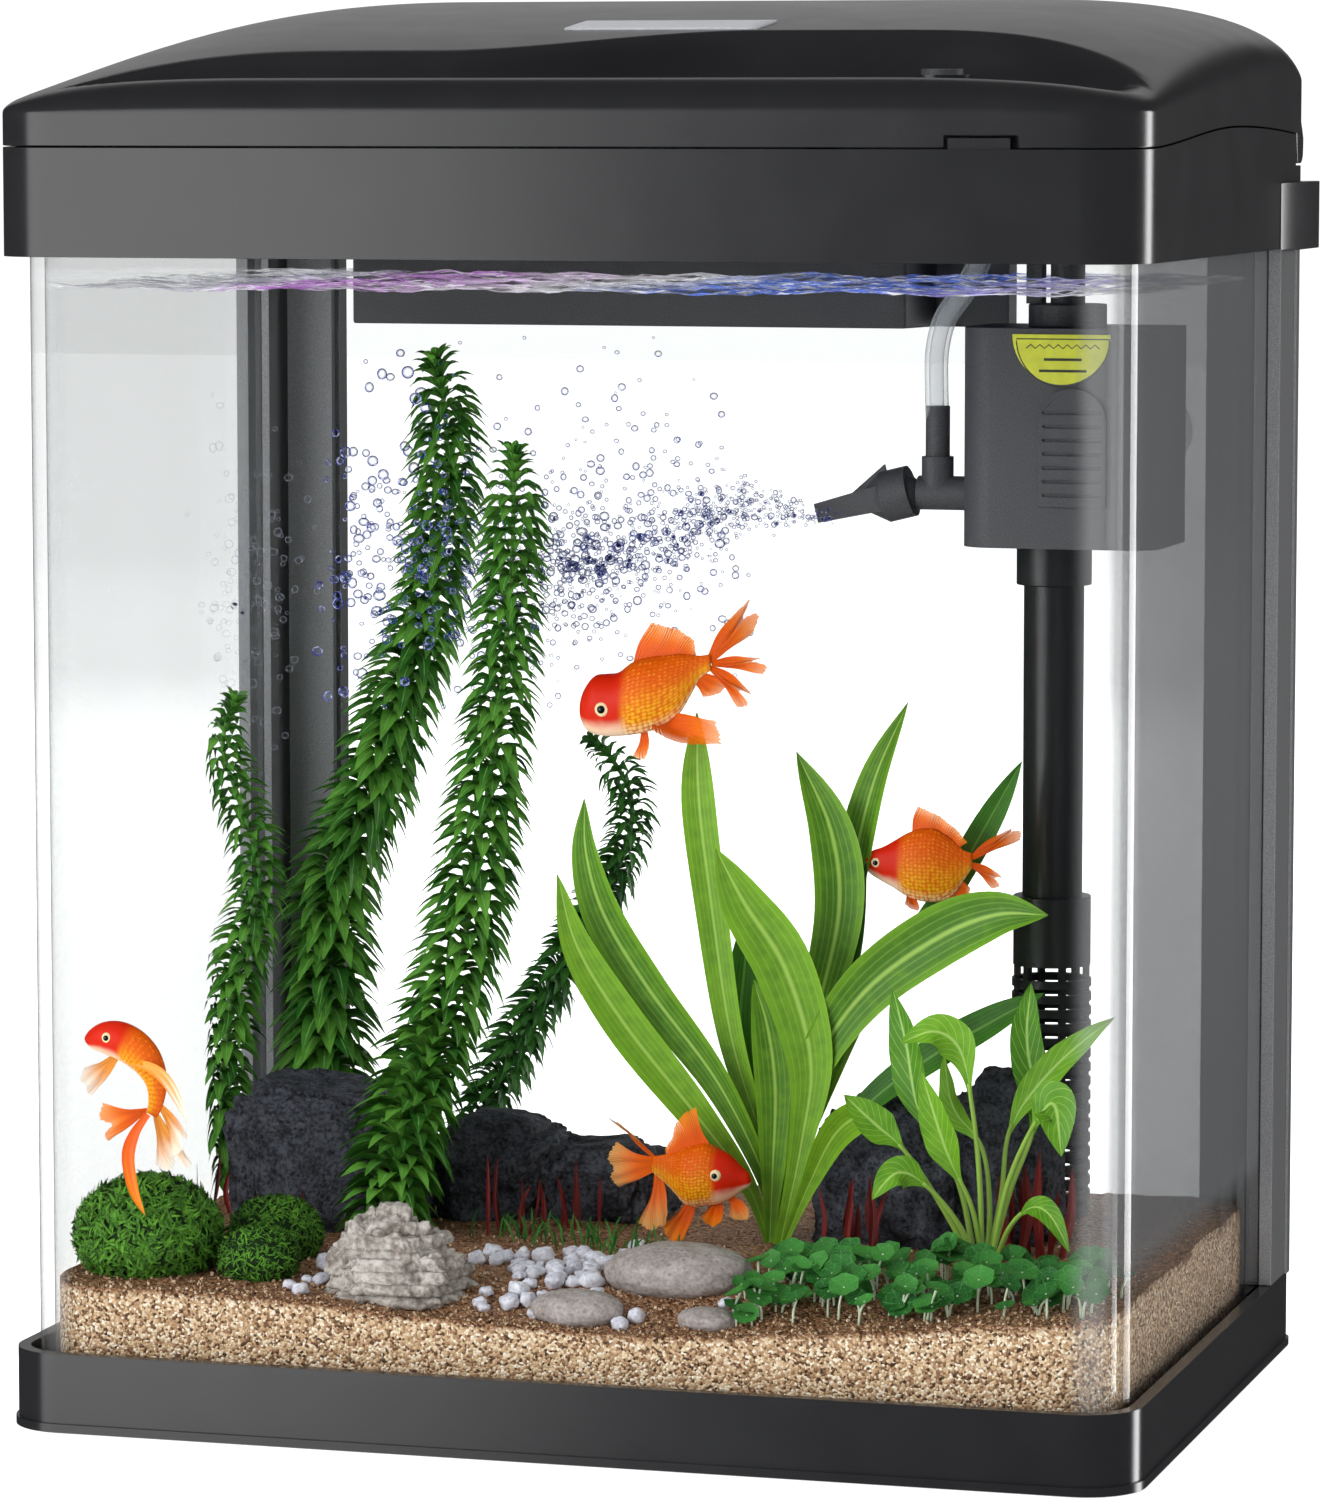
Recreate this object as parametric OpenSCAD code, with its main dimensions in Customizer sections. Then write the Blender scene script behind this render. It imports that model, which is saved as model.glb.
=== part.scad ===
// Desktop aquarium: a bent glass tank in a base tray, with a hooded hinged lid,
// a trickle filter box, an internal pump with a riser and a strainer, and a planted bed.
// Millimetres. X runs to the right, Y to the back and Z up. The origin is on the surface
// that the tray stands on, under the middle of the tank.

/* [Overall] */
// Outside width of the hood and the base tray
hood_w = 320; // [270:1:400]
// Outside depth of the hood and the base tray
hood_d = 224; // [200:1:290]
// Height of the hood's lower edge above the surface
hood_z = 323; // [290:1:420]
// Radius of the front corners, seen from above
corner_r = 17; // [12:0.5:24]
// Radius of the rear corners, seen from above
rear_r = 6; // [4:0.5:10]

/* [Base tray] */
// Height of the tray's rim
base_h = 21.8; // [18:0.1:34]
// Height of the flange round the foot of the tray
flange_h = 2.4; // [1.6:0.1:4]
// How far the flange stands out from the tray
flange_out = 0.8; // [0.4:0.1:2]
// Height of the tray's floor, where the glass stands
tray_floor_z = 9; // [7:0.1:12]
// Thickness of the tray's floor and its stiffening ribs
tray_t = 3; // [2:0.1:4]

/* [Glass] */
// Thickness of every pane
glass_t = 4; // [3:0.1:6]
// How far the glass stands in from the hood's outside
glass_inset = 4.7; // [4.2:0.1:8]
// Outside radius of the bent corners
glass_r = 20; // [14:0.5:30]
// How far the glass reaches up into the hood
glass_rise = 8; // [5:0.5:14]
// Width of a silicone bead
bead_w = 1.4; // [1:0.1:2.5]

/* [Rear posts] */
// Width of a post's side leg
post_side_w = 11.3; // [9.5:0.1:16]
// Width of a post across the back
post_back_w = 25.6; // [20:0.1:34]
// Depth of a post along the side
post_d = 30; // [24:0.5:40]
// How deep a pane sits in a post
pane_grip = 6; // [4:0.5:8]

/* [Hood frame] */
// Height of the frame at the front
frame_h = 29.5; // [25:0.1:40]
// Wall thickness of the frame
frame_t = 3; // [2:0.1:3.6]
// How far the frame's side edge rises towards the middle
seam_rise = 5.3; // [2:0.1:8]
// Gap between the lid and the frame
seam_gap = 0.4; // [0.3:0.1:0.8]
// Width of the finger notch in the lid's front edge
notch_w = 20; // [14:1:30]
// Height of the finger notch
notch_h = 3.6; // [2:0.1:5]

/* [Rear housing] */
// Height of the cable housing behind the hood
housing_h = 19; // [14:0.5:20]
// How far the housing stands out behind the hood
housing_d = 10; // [8:0.5:12]
// How far the housing stands out beside the hood
housing_side = 3; // [2:0.1:5]
// Wall thickness of the housing
housing_t = 2; // [1.5:0.1:2.5]
// Radius of the hole for the cable grommet
gland_r = 4.5; // [3.5:0.1:6]
// Radius of the grommet's bore, which the cables pass through
cable_hole_r = 2.8; // [1.5:0.1:3]

/* [Lid] */
// Height of the lid's crown above the frame's front edge
lid_h = 42; // [36:0.5:60]
// Height of the lid's front lip above the frame's front edge
lip_h = 19.2; // [15:0.1:24]
// Height of the recess floor behind the lip above the frame's front edge
recess_h = 17; // [13:0.1:18]
// Wall thickness of the lid
lid_t = 2.4; // [1.8:0.1:3]
// Thickness of the splash cover under the lid
liner_t = 2; // [1.5:0.1:3]

/* [Hinge] */
// Radius of a hinge pin
pin_r = 1.2; // [1:0.05:1.4]
// Running clearance of the pin in the lid's ears
pin_gap = 0.07; // [0.03:0.01:0.1]
// Width of one of the lid's ears
ear_w = 14; // [8:0.5:20]
// Distance between the middles of the two hinges
hinge_span = 180; // [120:1:200]

/* [Pump] */
// Width of the pump's case
pump_w = 57.5; // [50:0.5:64]
// Depth of the pump's case
pump_d = 42; // [38:0.5:44]
// Height of the pump's case
pump_h = 62.5; // [56:0.5:80]
// Wall thickness of the pump's case
pump_t = 2.2; // [1.8:0.1:3]
// Outside radius of the riser tube
riser_r = 8.65; // [7:0.05:9]
// Wall thickness of the riser tube
riser_t = 1.6; // [1.2:0.1:2.5]
// Sliding clearance of the strainer on the riser
strainer_gap = 0.08; // [0.04:0.01:0.1]
// Outside radius of the strainer
strainer_r = 11.2; // [11:0.1:13]
// Number of rings in the strainer's cage
strainer_rings = 18; // [10:1:24]
// Outside radius of the outlet fitting
outlet_r = 4.9; // [4:0.1:6]
// Outside radius of the air tube
air_r = 3.5; // [3:0.1:4]

/* [Planted bed] */
// Depth of the gravel over the bottom glass
gravel_h = 27; // [15:0.5:40]

/* [Hidden] */

hw = hood_w / 2;
hd = hood_d / 2;
fit = 0.1;
arc_steps = 12;
plastic = "#2b2c2f";
shade = "#3a3b3e";
seam_z = hood_z + frame_h;
glass_top_z = hood_z + glass_rise;
glass_hw = hw - glass_inset;
glass_hd = hd - glass_inset;
post_y = hd - post_d;
rear_pane_y = hd - 11;
bed_z0 = tray_floor_z + glass_t + 0.2;
bed_z = bed_z0 + gravel_h - 0.2;
deck_z = glass_top_z + 1.3;
deck_t = 2.7;
skirt_z = seam_z - 5.3;
// The lid's skirt begins behind this row of its sides
skirt_row = hd - rear_r - 4.5;
step_y = skirt_row * (hd - lid_t) / hd - 0.3;
crown_z = seam_z + lid_h;
lip_z = seam_z + lip_h;
recess_z = seam_z + recess_h;
wall_front_z = seam_z + 8.5;
wall_rear_z = seam_z + 18.5;
housing_top_z = hood_z + housing_h;
hinge_y = hd + 0.5;
hinge_z = skirt_z - 2.4;
knuckle_r = 2.3;
liner_z = seam_z + 6.5;
pump_x = hw - 57;
pump_y = -hd + 152;
pump_z = hood_z - 84.5;
axis_x = pump_x - 5;
axis_y = pump_y + pump_d / 2;
outlet_z = pump_z + 14.5;
outlet_y = axis_y - 5;
tee_x = pump_x - pump_w / 2 - 9.6;
ball_r = 5.03;
socket_r = 5.1;
ball_x = tee_x - 9.6;
nozzle_tilt = 14;
nozzle_l = 25.8;
notch_x = hw - 42.7;
strainer_z = bed_z + 0.6;
strainer_top_z = pump_z - 101.5;

// Points of a circular arc from angle a0 to angle a1
function arc(x, y, r, a0, a1, n = arc_steps) =
    [for (i = [0:n]) [x + r * cos(a0 + (a1 - a0) * i / n), y + r * sin(a0 + (a1 - a0) * i / n)]];
// A rectangle about the origin with its own front and rear corner radii
function plan(w, d, rf, rr) = concat(
    arc(-w + rf, -d + rf, rf, 180, 270), arc(w - rf, -d + rf, rf, 270, 360),
    arc(w - rr, d - rr, rr, 0, 90, 5), arc(-w + rr, d - rr, rr, 90, 180, 5));
// The hood's outline moved inwards
function inset_plan(k) = plan(hw - k, hd - k, max(corner_r - k, 2), max(rear_r - k, 1));
function clamp01(t) = min(max(t, 0), 1);
function ease(t) = clamp01(t) * clamp01(t) * (3 - 2 * clamp01(t));
function mix(a, b, t) = a + (b - a) * t;
function noise(i, s) = abs(sin(i * 127.1 + s * 311.7) * 43758.5) % 1;

// Height of the joint between the frame and the lid along the side
function seam_at(y) = y < 14
    ? seam_z + seam_rise * pow(sin(90 * clamp01((y + hd) / (hd + 14))), 2)
    : seam_z + seam_rise - 2.1 * pow((y - 14) / (hd - 31.5), 2);

module prism(points, z0, z1) {
    translate([0, 0, z0]) linear_extrude(z1 - z0) polygon(points);
}
// A profile in Y and Z drawn out along X
module along_x(points, x0, x1) {
    translate([x0, 0, 0]) rotate([90, 0, 90]) linear_extrude(x1 - x0) polygon(points);
}
module block(x0, x1, y0, y1, z0, z1) {
    translate([x0, y0, z0]) cube([x1 - x0, y1 - y0, z1 - z0]);
}
module rod_x(x0, x1, y, z, r) {
    translate([x0, y, z]) rotate([0, 90, 0]) cylinder(h = x1 - x0, r = r, $fn = 48);
}
module ring(r1, r2, h, fn = 64) {
    difference() {
        cylinder(h = h, r = r2, $fn = fn);
        translate([0, 0, -1]) cylinder(h = h + 2, r = r1, $fn = fn);
    }
}
// A closed solid through a stack of rings that all have the same number of points
module loft(rings) {
    n = len(rings[0]);
    m = len(rings);
    polyhedron(
        points = [for (r = rings) for (p = r) p],
        faces = concat(
            [[for (i = [0:n - 1]) n - 1 - i]],
            [[for (i = [0:n - 1]) (m - 1) * n + i]],
            [for (k = [0:m - 2]) for (i = [0:n - 1])
                [k * n + i, k * n + (i + 1) % n, (k + 1) * n + (i + 1) % n]],
            [for (k = [0:m - 2]) for (i = [0:n - 1])
                [k * n + i, (k + 1) * n + (i + 1) % n, (k + 1) * n + i]]));
}
function unit(v) = v / norm(v);
function tangent(p, i) = unit(p[min(i + 1, len(p) - 1)] - p[max(i - 1, 0)]);
// Rings of an oval tube along a route. Its half width w lies along the side vector,
// and its half thickness t across it.
function tube_rings(p, w, t, side, n) = [for (i = [0:len(p) - 1])
    let (v = unit(cross(tangent(p, i), side)))
    [for (k = [0:n - 1]) p[i] + side * w[i] * cos(360 * k / n) + v * t[i] * sin(360 * k / n)]];
module tube(p, w, t, side = [0, 1, 0], n = 8) {
    loft(tube_rings(p, w, t, side, n));
}

// ---- Base tray ----
module base_tray() color(plastic) difference() {
    union() {
        prism(inset_plan(flange_out), 0, base_h);
        prism(inset_plan(0), 0, flange_h);
    }
    prism(inset_plan(glass_inset - 0.4), tray_floor_z, base_h + 1);
    difference() {
        prism(inset_plan(flange_out + tray_t + 1), -1, tray_floor_z - tray_t);
        for (x = [-hw / 2, 0, hw / 2]) block(x - tray_t / 2, x + tray_t / 2, -hd, hd, -2, tray_floor_z);
        block(-hw, hw, -tray_t, tray_t, -2, tray_floor_z);
    }
}

// ---- Glass ----
module bottom_glass() color("#cfe3e8", 0.35)
    prism(plan(glass_hw - glass_t - fit, glass_hd - glass_t - fit, glass_r - glass_t, 1),
        tray_floor_z + 0.1, tray_floor_z + glass_t);
module front_glass() color("#cfe3e8", 0.3) difference() {
    prism(plan(glass_hw, glass_hd, glass_r, 1), tray_floor_z + 0.1, glass_top_z);
    prism(plan(glass_hw - glass_t, glass_hd - glass_t, glass_r - glass_t, 1), 0, glass_top_z + 1);
    block(-hw, hw, post_y + pane_grip, hd, 0, glass_top_z + 1);
}
module rear_glass() color("#cfe3e8", 0.3)
    block(-hw + post_back_w - pane_grip, hw - post_back_w + pane_grip,
        rear_pane_y, rear_pane_y + glass_t, base_h + 0.1, glass_top_z);
// The bead lies in the corner between the bottom glass and the bent pane
module silicone_beads() color("#e8ecec", 0.6) difference() {
    prism(plan(glass_hw - glass_t - fit, glass_hd - glass_t - fit, glass_r - glass_t, 1),
        tray_floor_z + glass_t + 0.05, tray_floor_z + glass_t + bead_w);
    prism(plan(glass_hw - glass_t - bead_w, glass_hd - glass_t - bead_w, glass_r - glass_t - bead_w, 1),
        0, 50);
}

// ---- Rear posts ----
// Outline of the right-hand post, with a shallow step where its side strip ends
function post_outline() = concat(
    [[hw - post_side_w, post_y], [hw - 0.8, post_y], [hw - 0.8, hd - 10], [hw, hd - 10]],
    arc(hw - rear_r, hd - rear_r, rear_r, 0, 90, 5),
    [[hw - post_back_w, hd], [hw - post_back_w, hd - 14], [hw - post_side_w, hd - 14]]);
module rear_post() difference() {
    prism(post_outline(), base_h + 0.05, hood_z - 0.05);
    block(glass_hw - glass_t - fit, glass_hw + fit, 0, post_y + pane_grip + fit, 0, hood_z);
    block(0, hw - post_back_w + pane_grip + fit, rear_pane_y - fit, rear_pane_y + glass_t + fit,
        0, hood_z);
}
module rear_post_right() color(shade) rear_post();
module rear_post_left() color(shade) mirror([1, 0, 0]) rear_post();

// ---- Hood frame ----
module hood_frame() color(plastic) {
    frame_shell();
    // a tab fills most of the lid's finger notch
    tab_end = (notch_x + notch_w / 2) * (hw - lid_t) / hw - 0.5;
    block(notch_x - notch_w / 2 + 1, tab_end, -hd + 0.4, -hd + frame_t, seam_z - 1, seam_z + notch_h - 0.7);
}
module frame_shell() difference() {
    prism(inset_plan(0), hood_z, seam_z + seam_rise + 2);
    // the tank passes up into the frame
    prism(inset_plan(glass_inset - 0.4), hood_z - 1, deck_z);
    // the room above the deck, which steps in behind for the lid's skirt
    prism(plan(hw - frame_t, hd - frame_t, corner_r - frame_t, rear_r - frame_t),
        deck_z + deck_t, skirt_z - 4.6);
    difference() {
        prism(plan(hw - frame_t, hd - frame_t, corner_r - frame_t, rear_r - frame_t),
            skirt_z - 5, seam_z + 20);
        block(-hw, hw, step_y - frame_t, hd, 0, seam_z + 30);
    }
    block(-hw - 1, hw + 1, step_y, hd + 1, skirt_z - 0.6, seam_z + 30);
    // hinge room behind
    for (s = [-1, 1]) block(s * hinge_span / 2 - 16, s * hinge_span / 2 + 16, hd - 4, hd + 1,
        housing_top_z - 1.1, seam_z);
    // the side joint's line
    along_x(concat([for (i = [0:28]) let (y = mix(-hd - 1, step_y + 1, i / 28)) [y, seam_at(y)]],
        [[step_y + 1, seam_z + 40], [-hd - 1, seam_z + 40]]), -hw - 1, hw + 1);
    // deck openings for feeding, for the filter box and for the pump's outlet
    block(-hw + 34, pump_x - 40, -hd + 26, filter_y - 8, 0, deck_z + 10);
    prism(filter_outline(0.6), 0, deck_z + 10);
    block(pump_x - 22, pump_x + 22, pump_y + 4, pump_y + 36, 0, deck_z + 10);
    block(tee_x + 9, tee_x + 22, outlet_y - 2, outlet_y + 11, 0, deck_z + 10);
}

// ---- Rear housing: a box behind the hood with two cheeks that wrap its corners ----
function housing_plan(k) = concat(
    [[-hw - 0.1 + k, hd - 36], [-hw - housing_side + k, hd - 27]],
    [[-hw - housing_side + k, hd + housing_d - 1.5], [-hw - housing_side + k + 1.5, hd + housing_d - k]],
    [[hw + housing_side - k - 1.5, hd + housing_d - k], [hw + housing_side - k, hd + housing_d - 1.5]],
    [[hw + housing_side - k, hd - 27], [hw + 0.1 - k, hd - 36]]);
module knuckle(x0, x1) difference() {
    union() {
        rod_x(x0, x1, hinge_y, hinge_z, knuckle_r);
        block(x0, x1, hinge_y - knuckle_r, hinge_y + knuckle_r, housing_top_z - 1, hinge_z);
    }
    rod_x(x0 - 1, x1 + 1, hinge_y, hinge_z, pin_r);
}
module rear_housing() color(plastic) {
    difference() {
        prism(housing_plan(0), hood_z - 0.4, housing_top_z);
        prism(inset_plan(-0.1), 0, 500);
        block(-hw + 8, hw - 8, hd + housing_t, hd + housing_d - housing_t,
            hood_z - 1, housing_top_z - housing_t);
        translate([-hw + 42, hd, hood_z + housing_h / 2]) rotate([-90, 0, 0])
            cylinder(h = 30, r = gland_r, $fn = 48);
    }
    for (s = [-1, 1]) for (e = [-1, 1]) {
        x = s * hinge_span / 2 + e * (ear_w / 2 + 3.2);
        knuckle(x - 3, x + 3);
    }
}
module cable_grommet() color("#151515")
    translate([-hw + 42, hd + housing_d - housing_t - 2, hood_z + housing_h / 2]) rotate([-90, 0, 0]) {
        difference() {
            union() {
                cylinder(h = housing_t + 3, r = gland_r, $fn = 48);
                cylinder(h = 1.9, r = gland_r + 1.5, $fn = 48);
            }
            translate([0, 0, -1]) cylinder(h = housing_t + 6, r = cable_hole_r, $fn = 48);
        }
    }
module hinge_pins() color("silver") for (s = [-1, 1])
    rod_x(s * hinge_span / 2 - ear_w / 2 - 6, s * hinge_span / 2 + ear_w / 2 + 6, hinge_y, hinge_z, pin_r);

// ---- Trickle filter box, hung from the deck at the back ----
filter_y = hd - 42;
filter_z = hood_z - 23.5;
filter_x0 = -hw + 42;
filter_x1 = pump_x - 51.5;
filter_x2 = pump_x - 25.5;
function filter_outline(k) = [[filter_x0 - k, filter_y - k], [filter_x1 + k, filter_y - k],
    [filter_x1 + 4 + k, filter_y + 20 - k], [filter_x2 + k, filter_y + 20 - k],
    [filter_x2 + k, rear_pane_y - 1.2 + k], [filter_x0 - k, rear_pane_y - 1.2 + k]];
module filter_box() color(shade) difference() {
    union() {
        prism(filter_outline(0), filter_z, deck_z + deck_t);
        prism(filter_outline(2.5), deck_z + deck_t, deck_z + deck_t + 1.8);
    }
    prism(filter_outline(-2), filter_z + 2, deck_z + deck_t + 5);
    // weir slots in the left end
    for (i = [0:3]) block(filter_x0 - 5, filter_x0 + 5, filter_y + 5 + i * 6, filter_y + 8 + i * 6,
        filter_z + 16, filter_z + 24);
}
module filter_sponge() color("#3d5f8a")
    block(filter_x0 + 8, filter_x1 - 4, filter_y + 3, rear_pane_y - 4.5, filter_z + 4, filter_z + 20);
module filter_grid() color(shade) difference() {
    block(filter_x0 + 3, filter_x1 - 3, filter_y + 2.6, rear_pane_y - 4, filter_z + 2.1, filter_z + 3.6);
    for (i = [0:14]) block(filter_x0 + 8 + i * 10, filter_x0 + 13 + i * 10, filter_y + 5,
        rear_pane_y - 7, filter_z, filter_z + 5);
}

// ---- Lid ----
recess_left = -hw + 20;
recess_right = hw - 3;
// Front and rear edges of the outline at x
function front_at(x) = -hd + (abs(x) <= hw - corner_r ? 0
    : corner_r - sqrt(max(0, pow(corner_r, 2) - pow(abs(x) - hw + corner_r, 2))));
function rear_at(x) = hd - (abs(x) <= hw - rear_r ? 0
    : rear_r - sqrt(max(0, pow(rear_r, 2) - pow(abs(x) - hw + rear_r, 2))));
// The line of the step behind the recess, which sweeps back from left to right
function step_at(x) = max(front_at(x) + 8,
    -hd + 44 + 33 * ease((x + 45) / 80)
    - 27 * pow(max(0, (-60 - x) / (hw - 80)), 3) - 50 * pow(max(0, (x - 65) / (hw - 65)), 2.8));
function round_off(t) = pow(1 - pow(clamp01(t), 2.3), 1 / 2.3);
function crown_at(y) = crown_z - (crown_z - lip_z + 0.8) * pow((hd - 12 - y) / (2 * hd - 24), 2);
function wall_at(y) = mix(wall_front_z, wall_rear_z, clamp01((y + hd) / 172));
function lid_top(x, y) =
    let (dip = ease((y - front_at(x) - 13) / 5) * ease((step_at(x) - y) / 6)
            * ease((recess_right - x) / 14) * ease((x - recess_left + 6) / 10),
        full = mix(crown_at(y), recess_z, dip),
        edge = round_off((abs(x) - hw + 75) / 75) * round_off(1 - (y - front_at(x)) / 15)
            * round_off(1 - (rear_at(x) - y) / 22))
    mix(wall_at(y), full, edge);
lid_cols = concat([for (a = [90:-15:15]) -hw + corner_r - corner_r * sin(a)],
    [for (i = [0:22]) mix(-hw + corner_r, notch_x - notch_w / 2 - 0.2, i / 22)],
    [for (i = [0:2]) mix(notch_x - notch_w / 2, notch_x + notch_w / 2, i / 2)],
    [for (i = [0:2]) mix(notch_x + notch_w / 2 + 0.2, hw - corner_r, i / 2)],
    [for (a = [15:15:90]) hw - corner_r + corner_r * sin(a)]);
// Rows across the lid follow its front edge, the step and its rear edge
function lid_rows(x) = let (f = front_at(x), r = rear_at(x), s = step_at(x), k = min(1, (s - f) / 30))
    concat([for (d = [0, 0.5, 1.8, 4, 7.5, 13, 18]) f + d * k],
        [mix(f + 18 * k, s - 6 * k, 0.5)], [for (d = [6, 4, 2, 0]) s - d * k],
        [for (i = [1:8]) mix(s, r - 22, i / 9)], [for (d = [22, 15, 9, 4.5, 1.6, 0.4, 0]) r - d]);
lid_nx = len(lid_cols) - 1;
lid_ny = len(lid_rows(0)) - 1;
function lid_point(j, i, t) = let (x = lid_cols[j], y = lid_rows(x)[i])
    [x * (hw - t) / hw, y * (hd - t) / hd, lid_top(x, y) - t];
// The grid's border, walked once round
lid_border = concat([for (j = [0:lid_nx - 1]) [j, 0]], [for (i = [0:lid_ny - 1]) [lid_nx, i]],
    [for (j = [0:lid_nx - 1]) [lid_nx - j, lid_ny]], [for (i = [0:lid_ny - 1]) [0, lid_ny - i]]);
// Lower edge: over the frame's edge at the front and sides, and a skirt behind
function rim_z(x, y) = y > skirt_row + 0.1 ? skirt_z
    : seam_at(y) + seam_gap + (y < 0 && abs(x - notch_x) <= notch_w / 2 ? notch_h - seam_gap : 0);
// The skirt is thick at the back, and its inner face stays behind the side walls' last row
skirt_in = rear_r + lid_t - 0.2;
function rim_point(b, t, back, f) = let (x = lid_cols[b[0]], y = lid_rows(x)[b[1]],
        z = mix(wall_at(y) - t, rim_z(x, y), f))
    [x * (hw - t) / hw, b[1] == lid_ny ? max(y + back, hd - skirt_in) : y * (hd - t) / hd, z];
rim_out = [[0, 0, 0.5], [0, 3.6, 0.7], [0, 3.2, 0.9], [0, 0.8, 1]];
rim_in = [[lid_t, -skirt_in, 1], [lid_t, -skirt_in, 0.6], [lid_t, -4, 0.3]];
module lid_shell() color(plastic) {
    nx = lid_nx + 1;
    grid_n = nx * (lid_ny + 1);
    m = len(lid_border);
    out_n = len(rim_out);
    in_n = len(rim_in);
    loops = concat(
        [for (b = lid_border) b[1] * nx + b[0]],
        [for (k = [0:out_n + in_n - 1]) for (i = [0:m - 1]) 2 * grid_n + k * m + i],
        [for (b = lid_border) grid_n + b[1] * nx + b[0]]);
    polyhedron(
        points = concat(
            [for (i = [0:lid_ny]) for (j = [0:lid_nx]) lid_point(j, i, 0)],
            [for (i = [0:lid_ny]) for (j = [0:lid_nx]) lid_point(j, i, lid_t)],
            [for (r = rim_out) for (b = lid_border) rim_point(b, r[0], r[1], r[2])],
            [for (r = rim_in) for (b = lid_border) rim_point(b, r[0], r[1], r[2])]),
        faces = concat(
            [for (i = [0:lid_ny - 1]) for (j = [0:lid_nx - 1])
                let (a = i * nx + j) each [[a, a + nx + 1, a + 1], [a, a + nx, a + nx + 1]]],
            [for (i = [0:lid_ny - 1]) for (j = [0:lid_nx - 1])
                let (a = grid_n + i * nx + j) each [[a, a + 1, a + nx + 1], [a, a + nx + 1, a + nx]]],
            [for (k = [0:out_n + in_n]) for (i = [0:m - 1])
                let (a = loops[k * m + i], b = loops[k * m + (i + 1) % m],
                    c = loops[(k + 1) * m + (i + 1) % m], d = loops[(k + 1) * m + i])
                each [[a, b, c], [a, c, d]]]));
}
// The splash cover hangs from the lid on four posts
module lid_liner() color(shade) {
    prism(plan(hw - lid_t - 5, hd - 12, corner_r - lid_t, 3), liner_z, liner_z + liner_t);
    for (x = [-hw + 40, hw - 40]) for (y = [0, hd - 40])
        translate([x, y, liner_z])
            cylinder(h = lid_top(x + sign(x) * 4, y - 4) - 1.15 * lid_t - liner_z, r = 4, $fn = 32);
}
// The ears hang under the skirt and turn on the pins
module lid_ears() color(plastic) for (s = [-1, 1]) difference() {
    union() {
        rod_x(s * hinge_span / 2 - ear_w / 2, s * hinge_span / 2 + ear_w / 2, hinge_y, hinge_z, knuckle_r);
        block(s * hinge_span / 2 - ear_w / 2, s * hinge_span / 2 + ear_w / 2,
            hinge_y - knuckle_r, hinge_y + knuckle_r, hinge_z, skirt_z);
    }
    rod_x(-hw, hw, hinge_y, hinge_z, pin_r + pin_gap);
}
plate_y = -hd + 76;
module lid_plate() color("#c9ccd1")
    translate([8, plate_y, crown_at(plate_y) + 0.25]) rotate([8, 0, 0])
        translate([-27.5, 0, 0]) cube([55, 22.5, 0.6]);
button_x = hw - 60;
button_y = -hd + 28;
module button_bezel() color(plastic) translate([button_x, button_y, recess_z + 0.05]) difference() {
    cylinder(h = 2.2, r = 8, $fn = 64);
    translate([0, 0, 0.6]) cylinder(h = 5, r = 5.7, $fn = 64);
}
module light_button() color(shade) translate([button_x, button_y, recess_z + 1.9])
    cylinder(h = 2, r = 5.6, $fn = 64);
module led_housing() color("#d9dadc") difference() {
    block(-hw + 56, pump_x - 48, -hd + 56, -hd + 96, liner_z - 9, liner_z - 0.05);
    block(-hw + 58, pump_x - 50, -hd + 58, -hd + 94, liner_z - 10, liner_z - 2);
}
module led_board() color("#f2f2ee") {
    block(-hw + 59, pump_x - 51, -hd + 59, -hd + 93, liner_z - 3.6, liner_z - 2.1);
    for (i = [0:11]) for (j = [0:2])
        block(-hw + 66 + i * 11, -hw + 70 + i * 11, -hd + 64 + j * 10, -hd + 68 + j * 10,
            liner_z - 4.8, liner_z - 3.6);
}
module led_lens() color("#dfe9ff", 0.5)
    block(-hw + 58.2, pump_x - 50.2, -hd + 58.2, -hd + 93.8, liner_z - 9, liner_z - 7.4);

// ---- Pump ----
function pump_plan(k) = let (w = pump_w / 2 - k, y1 = pump_y + pump_d - k) concat(
    arc(pump_x - w + 10 - k, pump_y + 10, 10 - k, 180, 270, 8),
    arc(pump_x + w - 8 + k, pump_y + 8, 8 - k, 270, 360, 8),
    [[pump_x + w, y1], [pump_x - w, y1]]);
back_t = 4;
module pump_case() color(shade) difference() {
    prism(pump_plan(0), pump_z, pump_z + pump_h);
    block(0, hw, pump_y + pump_d - back_t, hd, 0, pump_z + pump_h + 1);
    difference() {
        prism(pump_plan(pump_t), pump_z + pump_t, pump_z + pump_h - pump_t);
        // impeller chamber and rotor well
        translate([axis_x, axis_y, pump_z]) difference() {
            cylinder(h = 24, r = 15, $fn = 64);
            translate([0, 0, pump_t + 4]) cylinder(h = 12, r = 12.5, $fn = 64);
            translate([0, 0, 10]) cylinder(h = 20, r = 7, $fn = 64);
        }
    }
    translate([axis_x, axis_y, pump_z - 1]) cylinder(h = pump_t + 6, r = riser_r, $fn = 64);
    rod_x(pump_x - pump_w / 2 - 1, axis_x - 10, outlet_y, outlet_z, outlet_r - 1.5);
}
module pump_back() color(shade) difference() {
    intersection() {
        prism(pump_plan(0), pump_z, pump_z + pump_h);
        block(0, hw, pump_y + pump_d - back_t + 0.05, hd, 0, 500);
    }
    for (s = [-1, 1]) translate([pump_x + s * 16, pump_y + pump_d - 3, pump_z + pump_h / 2])
        rotate([-90, 0, 0]) cylinder(h = 10, r = 3, $fn = 32);
}
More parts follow.
